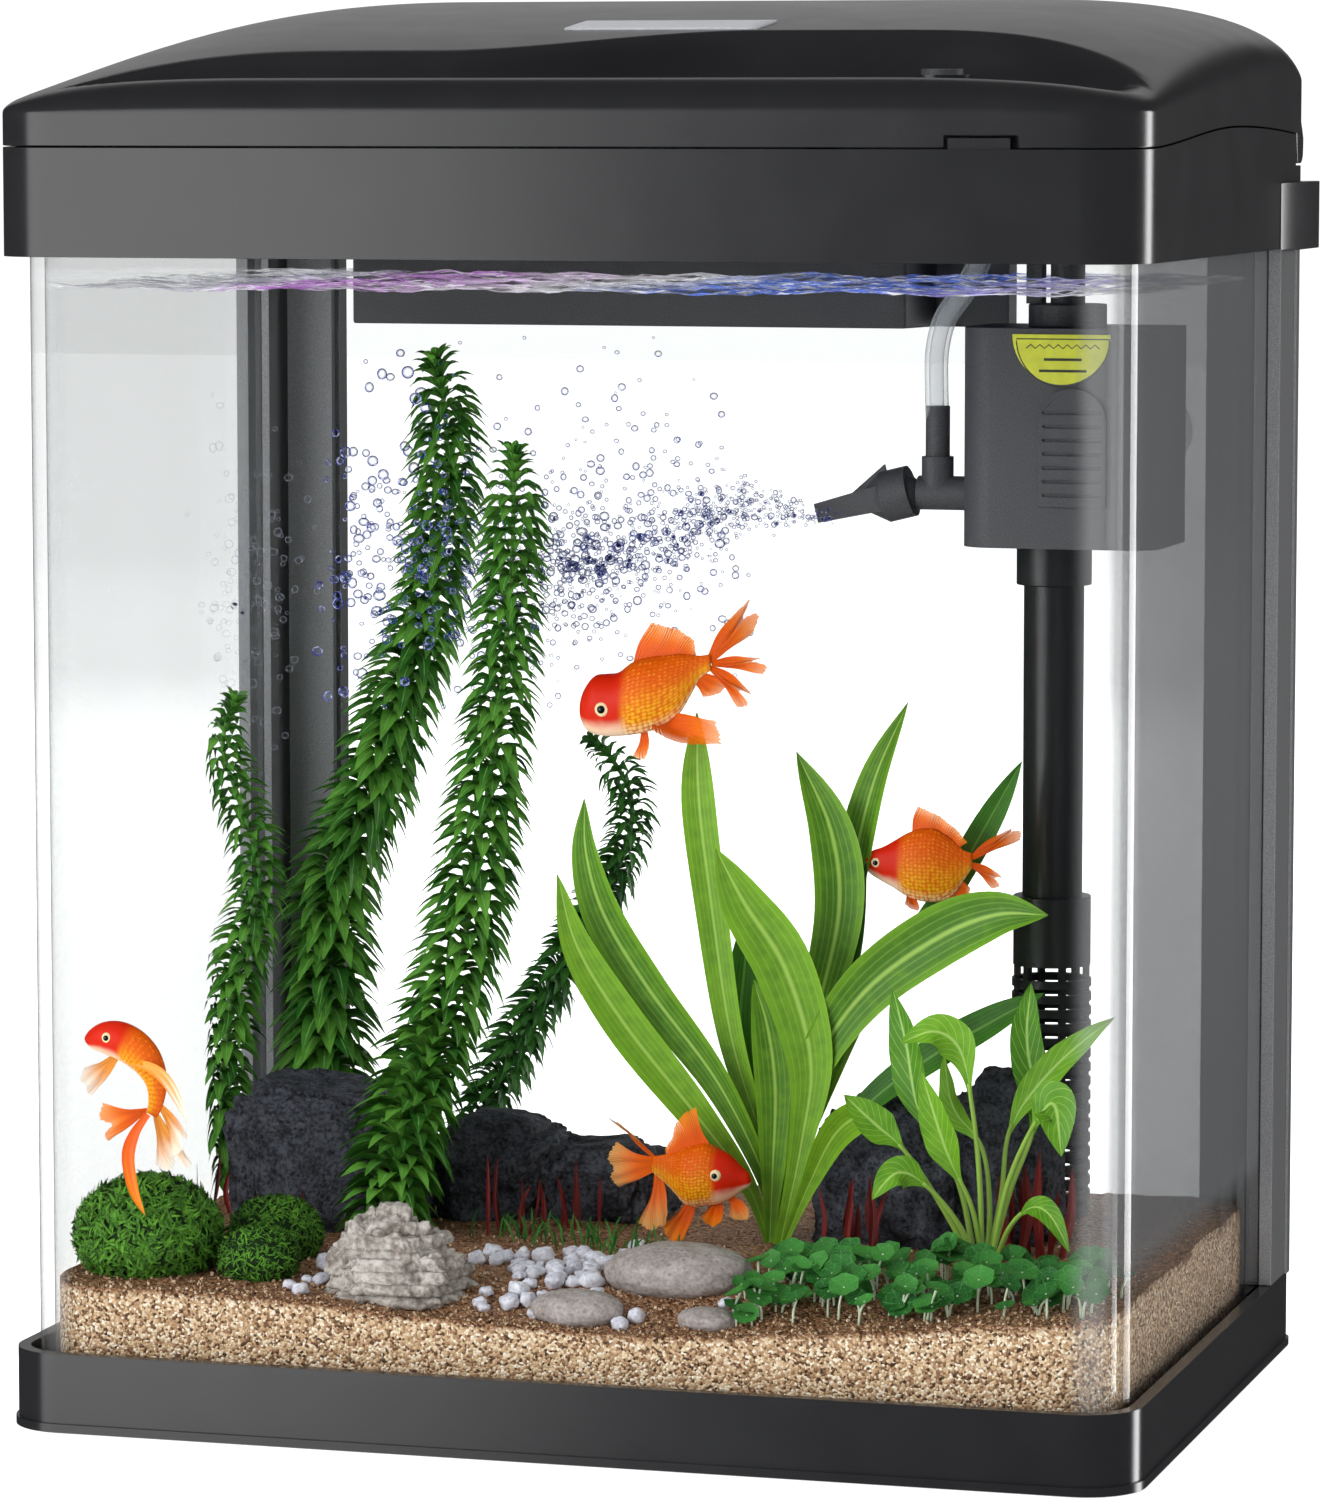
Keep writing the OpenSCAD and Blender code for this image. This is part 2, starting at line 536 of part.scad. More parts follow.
module suction_cups() color("#dde6e8", 0.6) for (s = [-1, 1])
    translate([pump_x + s * 16, pump_y + pump_d - 3, pump_z + pump_h / 2]) rotate([-90, 0, 0]) {
        cylinder(h = 10, r = 2.9, $fn = 32);
        translate([0, 0, 10]) cylinder(h = rear_pane_y - pump_y - pump_d - 7.1, r1 = 4, r2 = 11, $fn = 48);
    }
module pump_grip() color(shade) difference() {
    translate([pump_x + 5, pump_y, pump_z + 12]) rotate([90, 0, 0]) linear_extrude(1.6)
        polygon(concat([[-9.8, 0], [9.8, 0]], arc(0, 24, 9.8, 0, 180, 16)));
    for (i = [0:6]) block(pump_x - 3.5, pump_x + 13.5, pump_y - 3, pump_y - 0.9,
        pump_z + 15 + i * 3.9, pump_z + 15.8 + i * 3.9);
}
module pump_label() color("#d8dc30")
    translate([pump_x + 1.5, pump_y - 0.05, pump_z + pump_h - 1.6]) rotate([90, 0, 0])
        linear_extrude(0.4) polygon(arc(0, 0, 14.2, 180, 360, 24));
module pump_stator() color("#8a5a32") translate([axis_x, axis_y, pump_z + 24.5]) difference() {
    block(-17, 17, -15, 13, 0, 30);
    translate([0, 0, -1]) cylinder(h = 26, r = 8, $fn = 48);
}
module rotor_shaft() color("#f0f0ee") translate([axis_x, axis_y, pump_z + 9])
    cylinder(h = 38, r = 1.2, $fn = 32);
module rotor_magnet() color("#4a4a50") translate([axis_x, axis_y, pump_z + 20])
    ring(1.26, 6.2, 22);
module impeller() color("#f4f4f0") translate([axis_x, axis_y, pump_z + 10]) {
    ring(1.26, 3.2, 9.9);
    for (a = [0:60:300]) rotate([0, 0, a]) block(2.8, 10.5, -0.6, 0.6, 0, 5);
}
module outlet_collar() color(shade) translate([axis_x + 3.5, axis_y, pump_z + pump_h + 0.05])
    ring(5, 11.2, 6.4);
module outlet_pipe() color(shade) {
    translate([axis_x + 3.5, axis_y, pump_z + pump_h + 0.05]) ring(3.6, 4.95, hood_z - pump_z - pump_h + 22);
    block(axis_x - 8, axis_x - 3.5, axis_y - 3, axis_y + 3, pump_z + pump_h + 6.5, hood_z + 8);
}

// ---- Tee, swivel and nozzle ----
module tee_fitting() color(shade) difference() {
    union() {
        rod_x(tee_x - 5.5, pump_x - pump_w / 2 - 0.05, outlet_y, outlet_z, outlet_r);
        translate([tee_x, outlet_y, outlet_z]) cylinder(h = 10.5, r = outlet_r - 0.3, $fn = 48);
        translate([tee_x, outlet_y, outlet_z]) cylinder(h = 25, r = air_r, $fn = 48);
    }
    rod_x(tee_x - 3, pump_x - pump_w / 2 + 1, outlet_y, outlet_z, outlet_r - 1.5);
    translate([ball_x, outlet_y, outlet_z]) rotate([0, 90, 0]) sphere(r = socket_r, $fn = 64);
}
module swivel_ball() color(shade) translate([ball_x, outlet_y, outlet_z]) rotate([0, 90, 0])
    difference() {
        sphere(r = ball_r, $fn = 64);
        translate([0, 0, -8]) cylinder(h = 16, r = 2, $fn = 32);
    }
// The nozzle's cup holds the ball, and its flat bill leans down
module nozzle() color(shade) translate([ball_x, outlet_y, outlet_z]) rotate([0, -90 - nozzle_tilt, 0])
    difference() {
        union() {
            translate([0, 0, -2]) cylinder(h = 8, r = 7.4, $fn = 64);
            translate([0, 0, 6]) cylinder(h = 6, r1 = 7.4, r2 = 3, $fn = 64);
            translate([0, 6, 0]) rotate([90, 0, 0]) linear_extrude(12)
                polygon([[-2.8, nozzle_l], [2.8, nozzle_l], [3.8, 5], [-3.8, 5]]);
            translate([0, 0.7, 0]) rotate([90, 0, 0]) linear_extrude(1.4)
                polygon([[3, 16], [3, 4], [9.2, 4]]);
        }
        sphere(r = socket_r, $fn = 64);
        translate([-1.5, -4.8, 4]) cube([3, 9.6, nozzle_l]);
    }

// ---- Air tube ----
// Route of the tube's centre from the tee's barb to the inlet under the deck
air_route = [[tee_x, outlet_y, outlet_z + 25.05], [tee_x - 0.3, outlet_y, outlet_z + 34],
    [tee_x - 0.5, outlet_y, outlet_z + 42], [tee_x + 1.8, outlet_y + 0.6, outlet_z + 50],
    [tee_x + 6.5, outlet_y + 1.6, outlet_z + 57.5], [tee_x + 11.5, outlet_y + 3, outlet_z + 63.5],
    [tee_x + 14.7, outlet_y + 4.1, outlet_z + 67.5], [tee_x + 15.5, outlet_y + 4.4, outlet_z + 71.5],
    [tee_x + 15.5, outlet_y + 4.4, hood_z + 6.5]];
module air_tube() color("#d5dbe0", 0.5)
    tube(air_route, [for (p = air_route) air_r], [for (p = air_route) air_r], [0, 1, 0], 12);
module air_inlet() color(shade) translate([tee_x + 15.5, outlet_y + 4.4, hood_z + 6.6])
    cylinder(h = deck_z - hood_z, r = air_r + 1, $fn = 48);

// ---- Riser and strainer ----
module riser_tube() color(shade) translate([axis_x, axis_y, 0]) difference() {
    union() {
        translate([0, 0, strainer_top_z - 19])
            cylinder(h = pump_z - strainer_top_z + 22, r = riser_r, $fn = 64);
        translate([0, 0, pump_z - 11.5]) cylinder(h = 11.4, r = 10.8, $fn = 64);
    }
    cylinder(h = 500, r = riser_r - riser_t, $fn = 64);
}
cage_r = strainer_r - 1.7;
module strainer() color(shade) translate([axis_x, axis_y, strainer_z]) {
    h = strainer_top_z - strainer_z;
    cage_h = h - 20;
    pitch = cage_h / (strainer_rings + 0.5);
    translate([0, 0, cage_h]) ring(riser_r + strainer_gap, strainer_r, 20);
    for (i = [1:strainer_rings - 1])
        translate([0, 0, i * pitch]) ring(cage_r, strainer_r + 0.3, pitch * 0.55);
    difference() {
        cylinder(h = pitch, r = strainer_r, $fn = 64);
        translate([0, 0, 1.5]) cylinder(h = 10, r = cage_r, $fn = 64);
    }
    // upright bars join the rings
    for (a = [0:60:300]) rotate([0, 0, a])
        block(cage_r - 0.2, strainer_r - 0.2, -1, 1, pitch - 0.5, cage_h + 0.5);
}

// ---- Planted bed ----
module gravel_bed() color("#b79d7c") {
    w = glass_hw - glass_t - 1.8;
    inner_w = hw - post_side_w - 0.6;
    side_y = post_y - 0.6;
    rear_y = hd - 14.6;
    prism(concat(arc(-w + 15, -glass_hd + glass_t + 16.8, 15, 180, 270, 6),
        arc(w - 15, -glass_hd + glass_t + 16.8, 15, 270, 360, 6),
        [[w, side_y], [inner_w, side_y], [inner_w, rear_y],
            [-inner_w, rear_y], [-inner_w, side_y], [-w, side_y]]),
        bed_z0, bed_z);
}
// A rough rock: a hull round a ring of low knobs and a few high ones
module rock(x, y, w, d, h, s) translate([x, y, bed_z + 0.05]) hull() {
    for (i = [0:6]) rotate([0, 0, i * 51.4])
        linear_extrude(h * (0.35 + 0.3 * noise(i, s)))
            translate([(w + (d - w) * abs(sin(i * 51.4))) / 2 - 7, 0]) circle(r = 6, $fn = 12);
    for (i = [0:2]) rotate([0, 0, i * 120 + 40 * s]) translate([w / 6, 0, 0])
        linear_extrude(h * (0.8 + 0.2 * noise(i, s + 3))) circle(r = w / 9, $fn = 12);
}
module lava_rocks() color("#3a3d42") {
    rock(-hw + 58, 12, 50, 42, 42, 1);
    rock(-hw + 121, 38, 52, 40, 32, 2);
    rock(axis_x - 26, axis_y - 43, 66, 44, 46, 4);
}
module layered_stone() color("#b5b3b0") rock(-hw + 108, -hd + 28, 38, 26, 25, 5);
module flat_stone(x, y, w, d, h) translate([x, y, bed_z + 0.05]) difference() {
    resize([w, d, 2 * h]) sphere(r = 10, $fn = 24);
    translate([-w, -d, -2 * h]) cube([2 * w, 2 * d, 2 * h]);
}
module flat_stones() color("#a39d98") {
    flat_stone(23, -hd + 46, 41, 28, 13);
    flat_stone(1, -hd + 22, 27, 16, 8);
    flat_stone(38, -hd + 21, 16, 11, 5);
}
// Small pebbles scattered round the stones on a loose grid, which keeps them apart
module pebbles() color("#e6e4e8") for (i = [0:9]) for (j = [0:5]) {
    r = 2.4 + 1.6 * noise(i * 7 + j, 2);
    x = -34 + i * 9 + 2 * noise(i + 10 * j, 5) + (j % 2) * 4 - (i > 5 ? 9 : 0);
    y = -hd + 36 + j * 9.4;
    if (noise(i * 3 + j * 11, 9) > 0.28 && norm([x - 23, (y + hd - 46) * 1.4]) > 28
        && norm([x + hw - 108, (y + hd - 28) * 1.4]) > 25)
        translate([x, y, bed_z + r]) sphere(r = r, $fn = 16);
}
module moss(x, y, r) translate([x, y, bed_z + 0.05]) difference() {
    translate([0, 0, r * 0.93]) sphere(r = r, $fn = 32);
    translate([-50, -50, -50]) cube([100, 100, 50]);
}
module moss_balls() color("#3f6b2a") {
    moss(-hw + 33, -hd + 40, 20.5);
    moss(-hw + 66, -hd + 71, 14.5);
    moss(-hw + 67, -hd + 38, 11.5);
}
// A leafy stem is one tapering tube along its route; every route starts on the bed
module stem(route, r) color("#4c8c2e")
    tube(route, [for (i = [0:len(route) - 1]) i == len(route) - 1 ? 1.5 : r],
        [for (i = [0:len(route) - 1]) i == len(route) - 1 ? 1.5 : r]);
bed_p = bed_z + 0.3;
module stem_plant_a() stem([[-144, 42, bed_p], [-144, 42, bed_p + 12], [-144.5, 36, 90], [-139, 35, 112],
    [-134, 35, 136], [-140, 35, 160], [-143, 35, 177], [-141, 35, 190]], 6);
module stem_plant_b() stem([[-124, 62, bed_p], [-124, 62, bed_p + 12], [-125, 55, 92], [-122, 55, 128],
    [-116, 55, 159], [-106, 55, 189], [-95, 55, 219], [-88, 55, 248], [-87, 55, 288]], 8);
module stem_plant_c() stem([[-77, -20, bed_p], [-77, -20, bed_p + 12], [-76, -8, 75], [-75, 5, 104],
    [-70, 8, 140], [-64, 12, 169], [-59, 14, 210], [-56, 16, 239], [-55, 18, 264]], 8);
module stem_plant_d() stem([[-91, 84, bed_p], [-91, 84, bed_p + 12], [-84, 82, 70], [-72, 80, 88],
    [-55, 78, 110], [-43, 76, 129], [-36, 75, 150], [-38, 75, 165], [-43, 75, 176]], 6);
// A strap leaf bends out from the plant's middle: a is its heading, l its length, b its bow
function strap_route(x, y, a, l, h, b) = [for (k = [0:6]) let (t = k / 6)
    [x + (9 + l * t) * cos(a), y + (9 + l * t) * sin(a), bed_p + h * (t + b * t * (1 - t))]];
module strap(x, y, a, l, h, b, w) {
    p = strap_route(x, y, a, l, h, b);
    tube(p, [for (k = [0:6]) 0.5 + w * sin(170 * k / 6) / 2], [for (k = [0:6]) 0.5], [-sin(a), cos(a), 0], 6);
}
module sword_plant() color("#6faf3a") for (s = [[170, 56, 112, 0.7, 14], [150, 30, 148, 0.4, 12],
    [115, 14, 112, 0.5, 13], [60, 16, 138, 0.2, 10], [30, 38, 152, 0.2, 12], [10, 40, 128, 0.4, 12],
    [-8, 84, 100, 1, 15], [205, 34, 70, 0.8, 11], [250, 14, 60, 0.7, 9], [300, 22, 52, 0.8, 9]])
    strap(29, 0, s[0], s[1], s[2], s[3], s[4]);
module broadleaf_plant() color("#5fa034") for (s = [[180, 26, 80, 0.3, 10], [138, 18, 62, 0.2, 11],
    [90, 12, 74, 0.2, 10], [48, 22, 60, 0.4, 11], [5, 36, 68, 0.3, 12], [-38, 20, 44, 0.3, 10],
    [222, 22, 40, 0.5, 10], [268, 10, 30, 0.4, 9]])
    strap(98, -24, s[0], s[1], s[2], s[3], s[4]);
// Low round leaves on thin stalks over the front right of the bed
module ground_cover() color("#3f8a4a") for (i = [0:9]) for (j = [0:3]) {
    x = 47.6 + i * 10.2 + (j % 2) * 4;
    y = -hd + 24 + j * 10.4;
    h = 7 + 6 * noise(i, j + 1);
    translate([x, y, bed_p]) {
        cylinder(h = h, r = 0.8, $fn = 16);
        translate([0, 0, h - 0.2]) cylinder(h = 1, r = 4, $fn = 16);
    }
}
module red_grass() color("#7a1d1a") for (c = [[-56, 20], [axis_x + 10, 22], [axis_x - 44, 20]])
    for (i = [0:4]) translate([c[0] + i * 4, c[1] - 32 + 3 * (i % 2), bed_p])
        cylinder(h = 16 + 8 * noise(i, c[1]), r1 = 1, r2 = 0.3, $fn = 16);

base_tray();
bottom_glass();
front_glass();
rear_glass();
silicone_beads();
rear_post_left();
rear_post_right();
hood_frame();
rear_housing();
cable_grommet();
hinge_pins();
filter_box();
filter_sponge();
filter_grid();
lid_shell();
lid_liner();
lid_ears();
lid_plate();
button_bezel();
light_button();
led_housing();
led_board();
led_lens();
pump_case();
pump_back();
pump_grip();
pump_label();
pump_stator();
rotor_shaft();
rotor_magnet();
impeller();
suction_cups();
outlet_collar();
outlet_pipe();
tee_fitting();
swivel_ball();
nozzle();
air_tube();
air_inlet();
riser_tube();
strainer();
gravel_bed();
lava_rocks();
layered_stone();
flat_stones();
pebbles();
moss_balls();
stem_plant_a();
stem_plant_b();
stem_plant_c();
stem_plant_d();
sword_plant();
broadleaf_plant();
ground_cover();
red_grass();
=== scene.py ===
# Desktop aquarium: a hooded hinged lid, an internal pump and a planted gravel bed.
# Lengths in the dictionaries are millimetres; meshes are scaled to metres as they are made.
import math
import random

import bpy
from mathutils import Euler, Matrix, Vector, noise


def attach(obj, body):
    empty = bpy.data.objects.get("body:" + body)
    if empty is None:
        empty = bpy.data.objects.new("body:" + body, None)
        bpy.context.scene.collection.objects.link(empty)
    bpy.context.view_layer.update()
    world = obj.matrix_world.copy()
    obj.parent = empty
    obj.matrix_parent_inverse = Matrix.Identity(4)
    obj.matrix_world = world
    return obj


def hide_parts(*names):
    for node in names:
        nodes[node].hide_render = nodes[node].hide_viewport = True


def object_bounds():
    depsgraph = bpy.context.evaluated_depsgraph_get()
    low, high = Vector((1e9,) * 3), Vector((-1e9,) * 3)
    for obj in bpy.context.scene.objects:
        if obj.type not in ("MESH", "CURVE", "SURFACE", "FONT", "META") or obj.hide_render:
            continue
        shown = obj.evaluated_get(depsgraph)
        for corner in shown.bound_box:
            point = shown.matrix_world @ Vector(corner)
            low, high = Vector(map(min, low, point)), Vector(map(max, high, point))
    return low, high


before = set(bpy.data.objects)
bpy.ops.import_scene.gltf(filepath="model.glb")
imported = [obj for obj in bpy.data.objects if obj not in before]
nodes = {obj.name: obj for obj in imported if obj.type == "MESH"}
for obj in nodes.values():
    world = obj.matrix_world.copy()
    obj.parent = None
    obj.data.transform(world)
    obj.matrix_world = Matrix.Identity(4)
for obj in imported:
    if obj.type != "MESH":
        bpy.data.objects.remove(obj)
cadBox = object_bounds()
scene = bpy.context.scene
mm = 0.001


# ---- Numbers ----
def clamp(t, low=0.0, high=1.0):
    return max(low, min(high, t))


def ease(t):
    t = clamp(t)
    return t * t * (3 - 2 * t)


def mix(a, b, t):
    return a + (b - a) * t


def spread(a, b, count):
    return [mix(a, b, i / (count - 1)) for i in range(count)]


def curveThrough(points, count):
    # a smooth curve through the points, count steps to each stretch
    p = [Vector(q) for q in points]
    p = [p[0] * 2 - p[1]] + p + [p[-1] * 2 - p[-2]]
    made = []
    for a, b, c, d in zip(p, p[1:], p[2:], p[3:]):
        for i in range(count):
            t = i / count
            made.append(0.5 * (2 * b + (c - a) * t + (2 * a - 5 * b + 4 * c - d) * t * t
                               + (3 * b - 3 * c + d - a) * t ** 3))
    return made + [p[-2]]


def tangentAt(path, i):
    return (path[min(i + 1, len(path) - 1)] - path[max(i - 1, 0)]).normalized()


def borderOf(across, down):
    # row and column numbers once round the edge of a grid
    return ([(0, j) for j in range(across - 1)] + [(i, across - 1) for i in range(down - 1)]
            + [(down - 1, j) for j in range(across - 1, 0, -1)] + [(i, 0) for i in range(down - 1, 0, -1)])


# ---- Shader tools ----
class Sock:
    # one output of a node; arithmetic on it adds Math nodes
    def __init__(self, tree, socket):
        self.tree = tree
        self.socket = socket

    def maths(self, operation, *others):
        made = self.tree.nodes.new("ShaderNodeMath")
        made.operation = operation
        for slot, value in zip(made.inputs, (self, *others)):
            if isinstance(value, Sock):
                self.tree.links.new(value.socket, slot)
            else:
                slot.default_value = value
        return Sock(self.tree, made.outputs[0])

    def flipped(self, operation, first):
        made = self.maths(operation, 0.0)
        node = made.socket.node
        self.tree.links.remove(node.inputs[0].links[0])
        node.inputs[0].default_value = first
        self.tree.links.new(self.socket, node.inputs[1])
        return made

    def __add__(self, other):
        return self.maths("ADD", other)

    def __radd__(self, other):
        return self.maths("ADD", other)

    def __sub__(self, other):
        return self.maths("SUBTRACT", other)

    def __rsub__(self, other):
        return self.flipped("SUBTRACT", other)

    def __mul__(self, other):
        return self.maths("MULTIPLY", other)

    def __rmul__(self, other):
        return self.maths("MULTIPLY", other)

    def __truediv__(self, other):
        return self.maths("DIVIDE", other)

    def __pow__(self, other):
        return self.maths("POWER", other)

    def clamped(self, low, high):
        return self.maths("MAXIMUM", low).maths("MINIMUM", high)

    def step(self, low, high):
        # 0 below low, 1 above high, smooth between
        made = self.tree.nodes.new("ShaderNodeMapRange")
        made.interpolation_type = "SMOOTHSTEP"
        self.tree.links.new(self.socket, made.inputs["Value"])
        made.inputs["From Min"].default_value = low
        made.inputs["From Max"].default_value = high
        return Sock(self.tree, made.outputs[0])


class Finish:
    # a material with one Principled shader, whose plain numbers are given by socket name
    def __init__(self, name, color, **numbers):
        self.material = bpy.data.materials.new(name)
        self.material.use_nodes = True
        self.tree = self.material.node_tree
        self.shader = self.tree.nodes["Principled BSDF"]
        self.output = self.tree.nodes["Material Output"]
        self.shader.inputs["Base Color"].default_value = (*color, 1)
        for key, value in numbers.items():
            self.shader.inputs[key.replace("_", " ")].default_value = value
        self.place = self.node("ShaderNodeTexCoord", out="Object")

    def node(self, kind, settings=None, inputs=None, out=0):
        made = self.tree.nodes.new(kind)
        for key, value in (settings or {}).items():
            if key == "stops":
                self.setStops(made.color_ramp, value)
            else:
                setattr(made, key, value)
        for key, value in (inputs or {}).items():
            if isinstance(value, Sock):
                self.tree.links.new(value.socket, made.inputs[key])
            else:
                made.inputs[key].default_value = value
        return Sock(self.tree, made.outputs[out])

    def setStops(self, ramp, stops):
        while len(ramp.elements) < len(stops):
            ramp.elements.new(0.5)
        for element, (place, color) in zip(ramp.elements, stops):
            element.position = place
            element.color = (*color, 1)

    def noise(self, scale, detail=4.0, roughness=0.55, at=None):
        return self.node("ShaderNodeTexNoise", None, {
            "Vector": at or self.place, "Scale": scale, "Detail": detail, "Roughness": roughness})

    def cells(self, scale, out="Distance"):
        return self.node("ShaderNodeTexVoronoi", None, {"Vector": self.place, "Scale": scale}, out)

    def ramp(self, value, stops):
        return self.node("ShaderNodeValToRGB", {"stops": stops}, {"Fac": value})

    def facing(self):
        # 0 where a face is looked at squarely, 1 where it is looked along
        return self.node("ShaderNodeLayerWeight", None, {"Blend": 0.5}, "Facing")

    def normalPart(self, part):
        normal = self.node("ShaderNodeNewGeometry", out="Normal")
        return self.node("ShaderNodeSeparateXYZ", None, {"Vector": normal}, out=part)

    def blendColors(self, share, a, b, how="MIX"):
        made = self.tree.nodes.new("ShaderNodeMix")
        made.data_type = "RGBA"
        made.blend_type = how
        for slot, value in ((made.inputs[0], share), (made.inputs[6], a), (made.inputs[7], b)):
            if isinstance(value, Sock):
                self.tree.links.new(value.socket, slot)
            else:
                slot.default_value = value if isinstance(value, float) else (*value, 1)
        return Sock(self.tree, made.outputs[2])

    def stretched(self, x, y, z):
        return self.node("ShaderNodeMapping", None, {"Vector": self.place, "Scale": (x, y, z)})

    def tag(self, part):
        # the vector kept on each vertex: along, across and a chance number of its own
        read = self.node("ShaderNodeAttribute", {"attribute_name": "tag"}, out="Vector")
        return self.node("ShaderNodeSeparateXYZ", None, {"Vector": read}, out=part)

    def drive(self, socket, value):
        self.tree.links.new(value.socket, self.shader.inputs[socket])
        return self

    def bump(self, height, distance, strength=1.0):
        made = self.node("ShaderNodeBump", None,
                         {"Height": height, "Distance": distance, "Strength": strength}, "Normal")
        return self.drive("Normal", made)

    def seeThrough(self, share):
        # share of the light that the surface stops, with what is behind it showing through the rest
        clear = self.node("ShaderNodeBsdfTransparent")
        mixed = self.node("ShaderNodeMixShader", None, {0: share, 1: clear})
        self.tree.links.new(self.shader.outputs[0], mixed.socket.node.inputs[2])
        self.tree.links.new(mixed.socket, self.output.inputs["Surface"])
        return self


# ---- Finishes ----
def glossyPlastic():
    # semi-gloss black: faint haze in the gloss, and rubbed marks
    f = Finish("glossy_black_plastic", (0.012, 0.0122, 0.0135), IOR=1.5, Specular_IOR_Level=0.5)
    haze = f.noise(55, 3)
    f.drive("Roughness", 0.2 + haze * 0.07)
    f.drive("Base Color", f.blendColors(haze, (0.0105, 0.0107, 0.012), (0.0145, 0.0148, 0.0162)))
    return f.bump(f.noise(900, 2), 0.00002, 0.25).material


def grainedPlastic(name, dark, light, bumps=0.55, away=None):
    # moulded matte plastic with a fine spark-eroded grain; away is painted shade: a darker colour for the
    # faces that do not face the front
    f = Finish(name, dark, IOR=1.48)
    grain = f.noise(2600, 2, 0.6)
    shade = f.blendColors(grain.step(0.3, 0.75), dark, light)
    if away:
        # painted shade: faces turned from the front take the darker away colour, and the front faces stay
        # lighter
        shade = f.blendColors(f.normalPart("Y").step(-0.5, -0.9), away, shade)
    f.drive("Base Color", shade)
    f.drive("Roughness", 0.42 + grain * 0.2)
    return f.bump(grain, 0.00012, bumps).material


def clearGlass():
    # straight-through glass that mirrors more the flatter it is looked along
    f = Finish("tank_glass", (0.93, 0.95, 0.95), Roughness=0.02, IOR=1.5)
    clear = f.node("ShaderNodeBsdfTransparent", None, {"Color": (0.975, 0.98, 0.98, 1)})
    mirror = f.node("ShaderNodeBsdfGlossy", None, {"Color": (1, 1, 1, 1), "Roughness": 0.01})
    share = ((f.facing() ** 4.6) * 0.9).clamped(0.0, 1.0)
    mixed = f.node("ShaderNodeMixShader", None, {0: share, 1: clear, 2: mirror})
    # a painted grey film on the right pane above the gravel stands in for its shade and reflections, and both
    # front bends get a painted highlight, a pale streak
    x, z = (f.node("ShaderNodeSeparateXYZ", None, {"Vector": f.place}, out=part) for part in "XZ")
    paintedPaneShade = x.step(0.1472, 0.1518) * z.step(0.05, 0.062) * (0.5 + f.noise(6, 1) * 0.1)
    bend = x.maths("ABSOLUTE").step(0.139, 0.1455) * x.maths("ABSOLUTE").step(0.1528, 0.1475)
    pale = bend.maths("MAXIMUM", x.step(-0.1478, -0.1515))
    # the film colour is a pale painted highlight on the bends and a dark painted shade on the right pane
    f.drive("Base Color", f.blendColors(pale, (0.1, 0.102, 0.106), (0.5, 0.51, 0.52)))
    # film lays the painted shade on the right pane and the painted bend highlights over the glass
    film = paintedPaneShade.maths("MAXIMUM", pale * 0.12)
    mixed = f.node("ShaderNodeMixShader", None, {0: film, 1: mixed})
    f.tree.links.new(f.shader.outputs[0], mixed.socket.node.inputs[2])
    f.tree.links.new(mixed.socket, f.output.inputs["Surface"])
    return f.material


def gravelFinish():
    # every grain has its own colour, from cream to dark brown, with painted shade turning the faces that look
    # up darker and browner
    f = Finish("river_gravel", (0.45, 0.33, 0.22), IOR=1.45)
    tone = f.cells(1400, out="Color")
    value = f.node("ShaderNodeSeparateColor", None, {"Color": tone}, out="Red")
    sand = f.ramp(value, [(0.0, (0.06, 0.03, 0.015)), (0.16, (0.2, 0.1, 0.05)), (0.36, (0.42, 0.25, 0.13)),
                          (0.6, (0.56, 0.38, 0.22)), (0.82, (0.7, 0.54, 0.36)), (1.0, (0.86, 0.78, 0.64))])
    # painted shade: faces that look up are multiplied towards a darker brown
    shaded = f.blendColors(f.normalPart("Z").step(0.35, 0.75) * 0.9, sand, (0.5, 0.33, 0.24), "MULTIPLY")
    edge = f.cells(1400)
    # painted shade: darker in the gaps between the grains
    f.drive("Base Color", f.blendColors(edge.step(0.62, 1.0) * 0.55, shaded, (0.07, 0.04, 0.025)))
    f.drive("Roughness", 0.55 + value * 0.3)
    return f.bump(1.0 - edge, 0.0006, 0.9).material


def stoneFinish(name, low, high, pits, fine, roughness=0.8, depth=0.0009):
    f = Finish(name, high, IOR=1.45)
    broad = f.noise(fine * 0.25, 5, 0.62)
    small = f.noise(fine, 6, 0.7)
    pit = f.cells(pits).step(0.0, 0.5)
    base = f.blendColors((broad * 0.5 + small * 0.5).step(0.36, 0.64), low, high)
    # painted shade: the pits are darker
    f.drive("Base Color", f.blendColors(pit * 0.45 + 0.55, tuple(c * 0.45 for c in low), base))
    f.drive("Roughness", roughness - small * 0.2)
    return f.bump(small * 0.6 + pit * 0.4, depth, 0.9).material


def plantFinish(name, deep, bright, rib, veins=0.0, gloss=0.35, strands=0.0):
    # leaf colour runs from the rib out to the edge and from base to tip; the tag vector says where
    f = Finish(name, deep, IOR=1.42)
    along, across, chance = f.tag("X"), f.tag("Y"), f.tag("Z")
    blotch = f.noise(260, 4)
    body = f.blendColors((blotch * 0.55 + chance * 0.45).step(0.2, 0.8), deep, bright)
    ribLine = (across.maths("ABSOLUTE")).step(0.13, 0.02)
    if veins:
        slant = along * veins - across.maths("ABSOLUTE") * (veins * 0.28)
        line = (slant * 6.2832).maths("SINE").step(0.86, 0.98)
        ribLine = ribLine.maths("MAXIMUM", line * 0.55)
    if strands:
        # fine veins side by side along the leaf
        line = (across * (strands * 6.2832)).maths("COSINE").step(0.5, 1.0)
        ribLine = ribLine.maths("MAXIMUM", line * 0.3)
        border = across.maths("ABSOLUTE").step(0.55, 1.0)
        body = f.blendColors(border * 0.5, body, tuple(c * 1.25 for c in bright))
    f.drive("Base Color", f.blendColors(ribLine * 0.75, body, rib))
    f.drive("Roughness", gloss + blotch * 0.25)
    return f.bump(blotch * 0.4 + ribLine * 0.6, 0.00025, 0.6).material


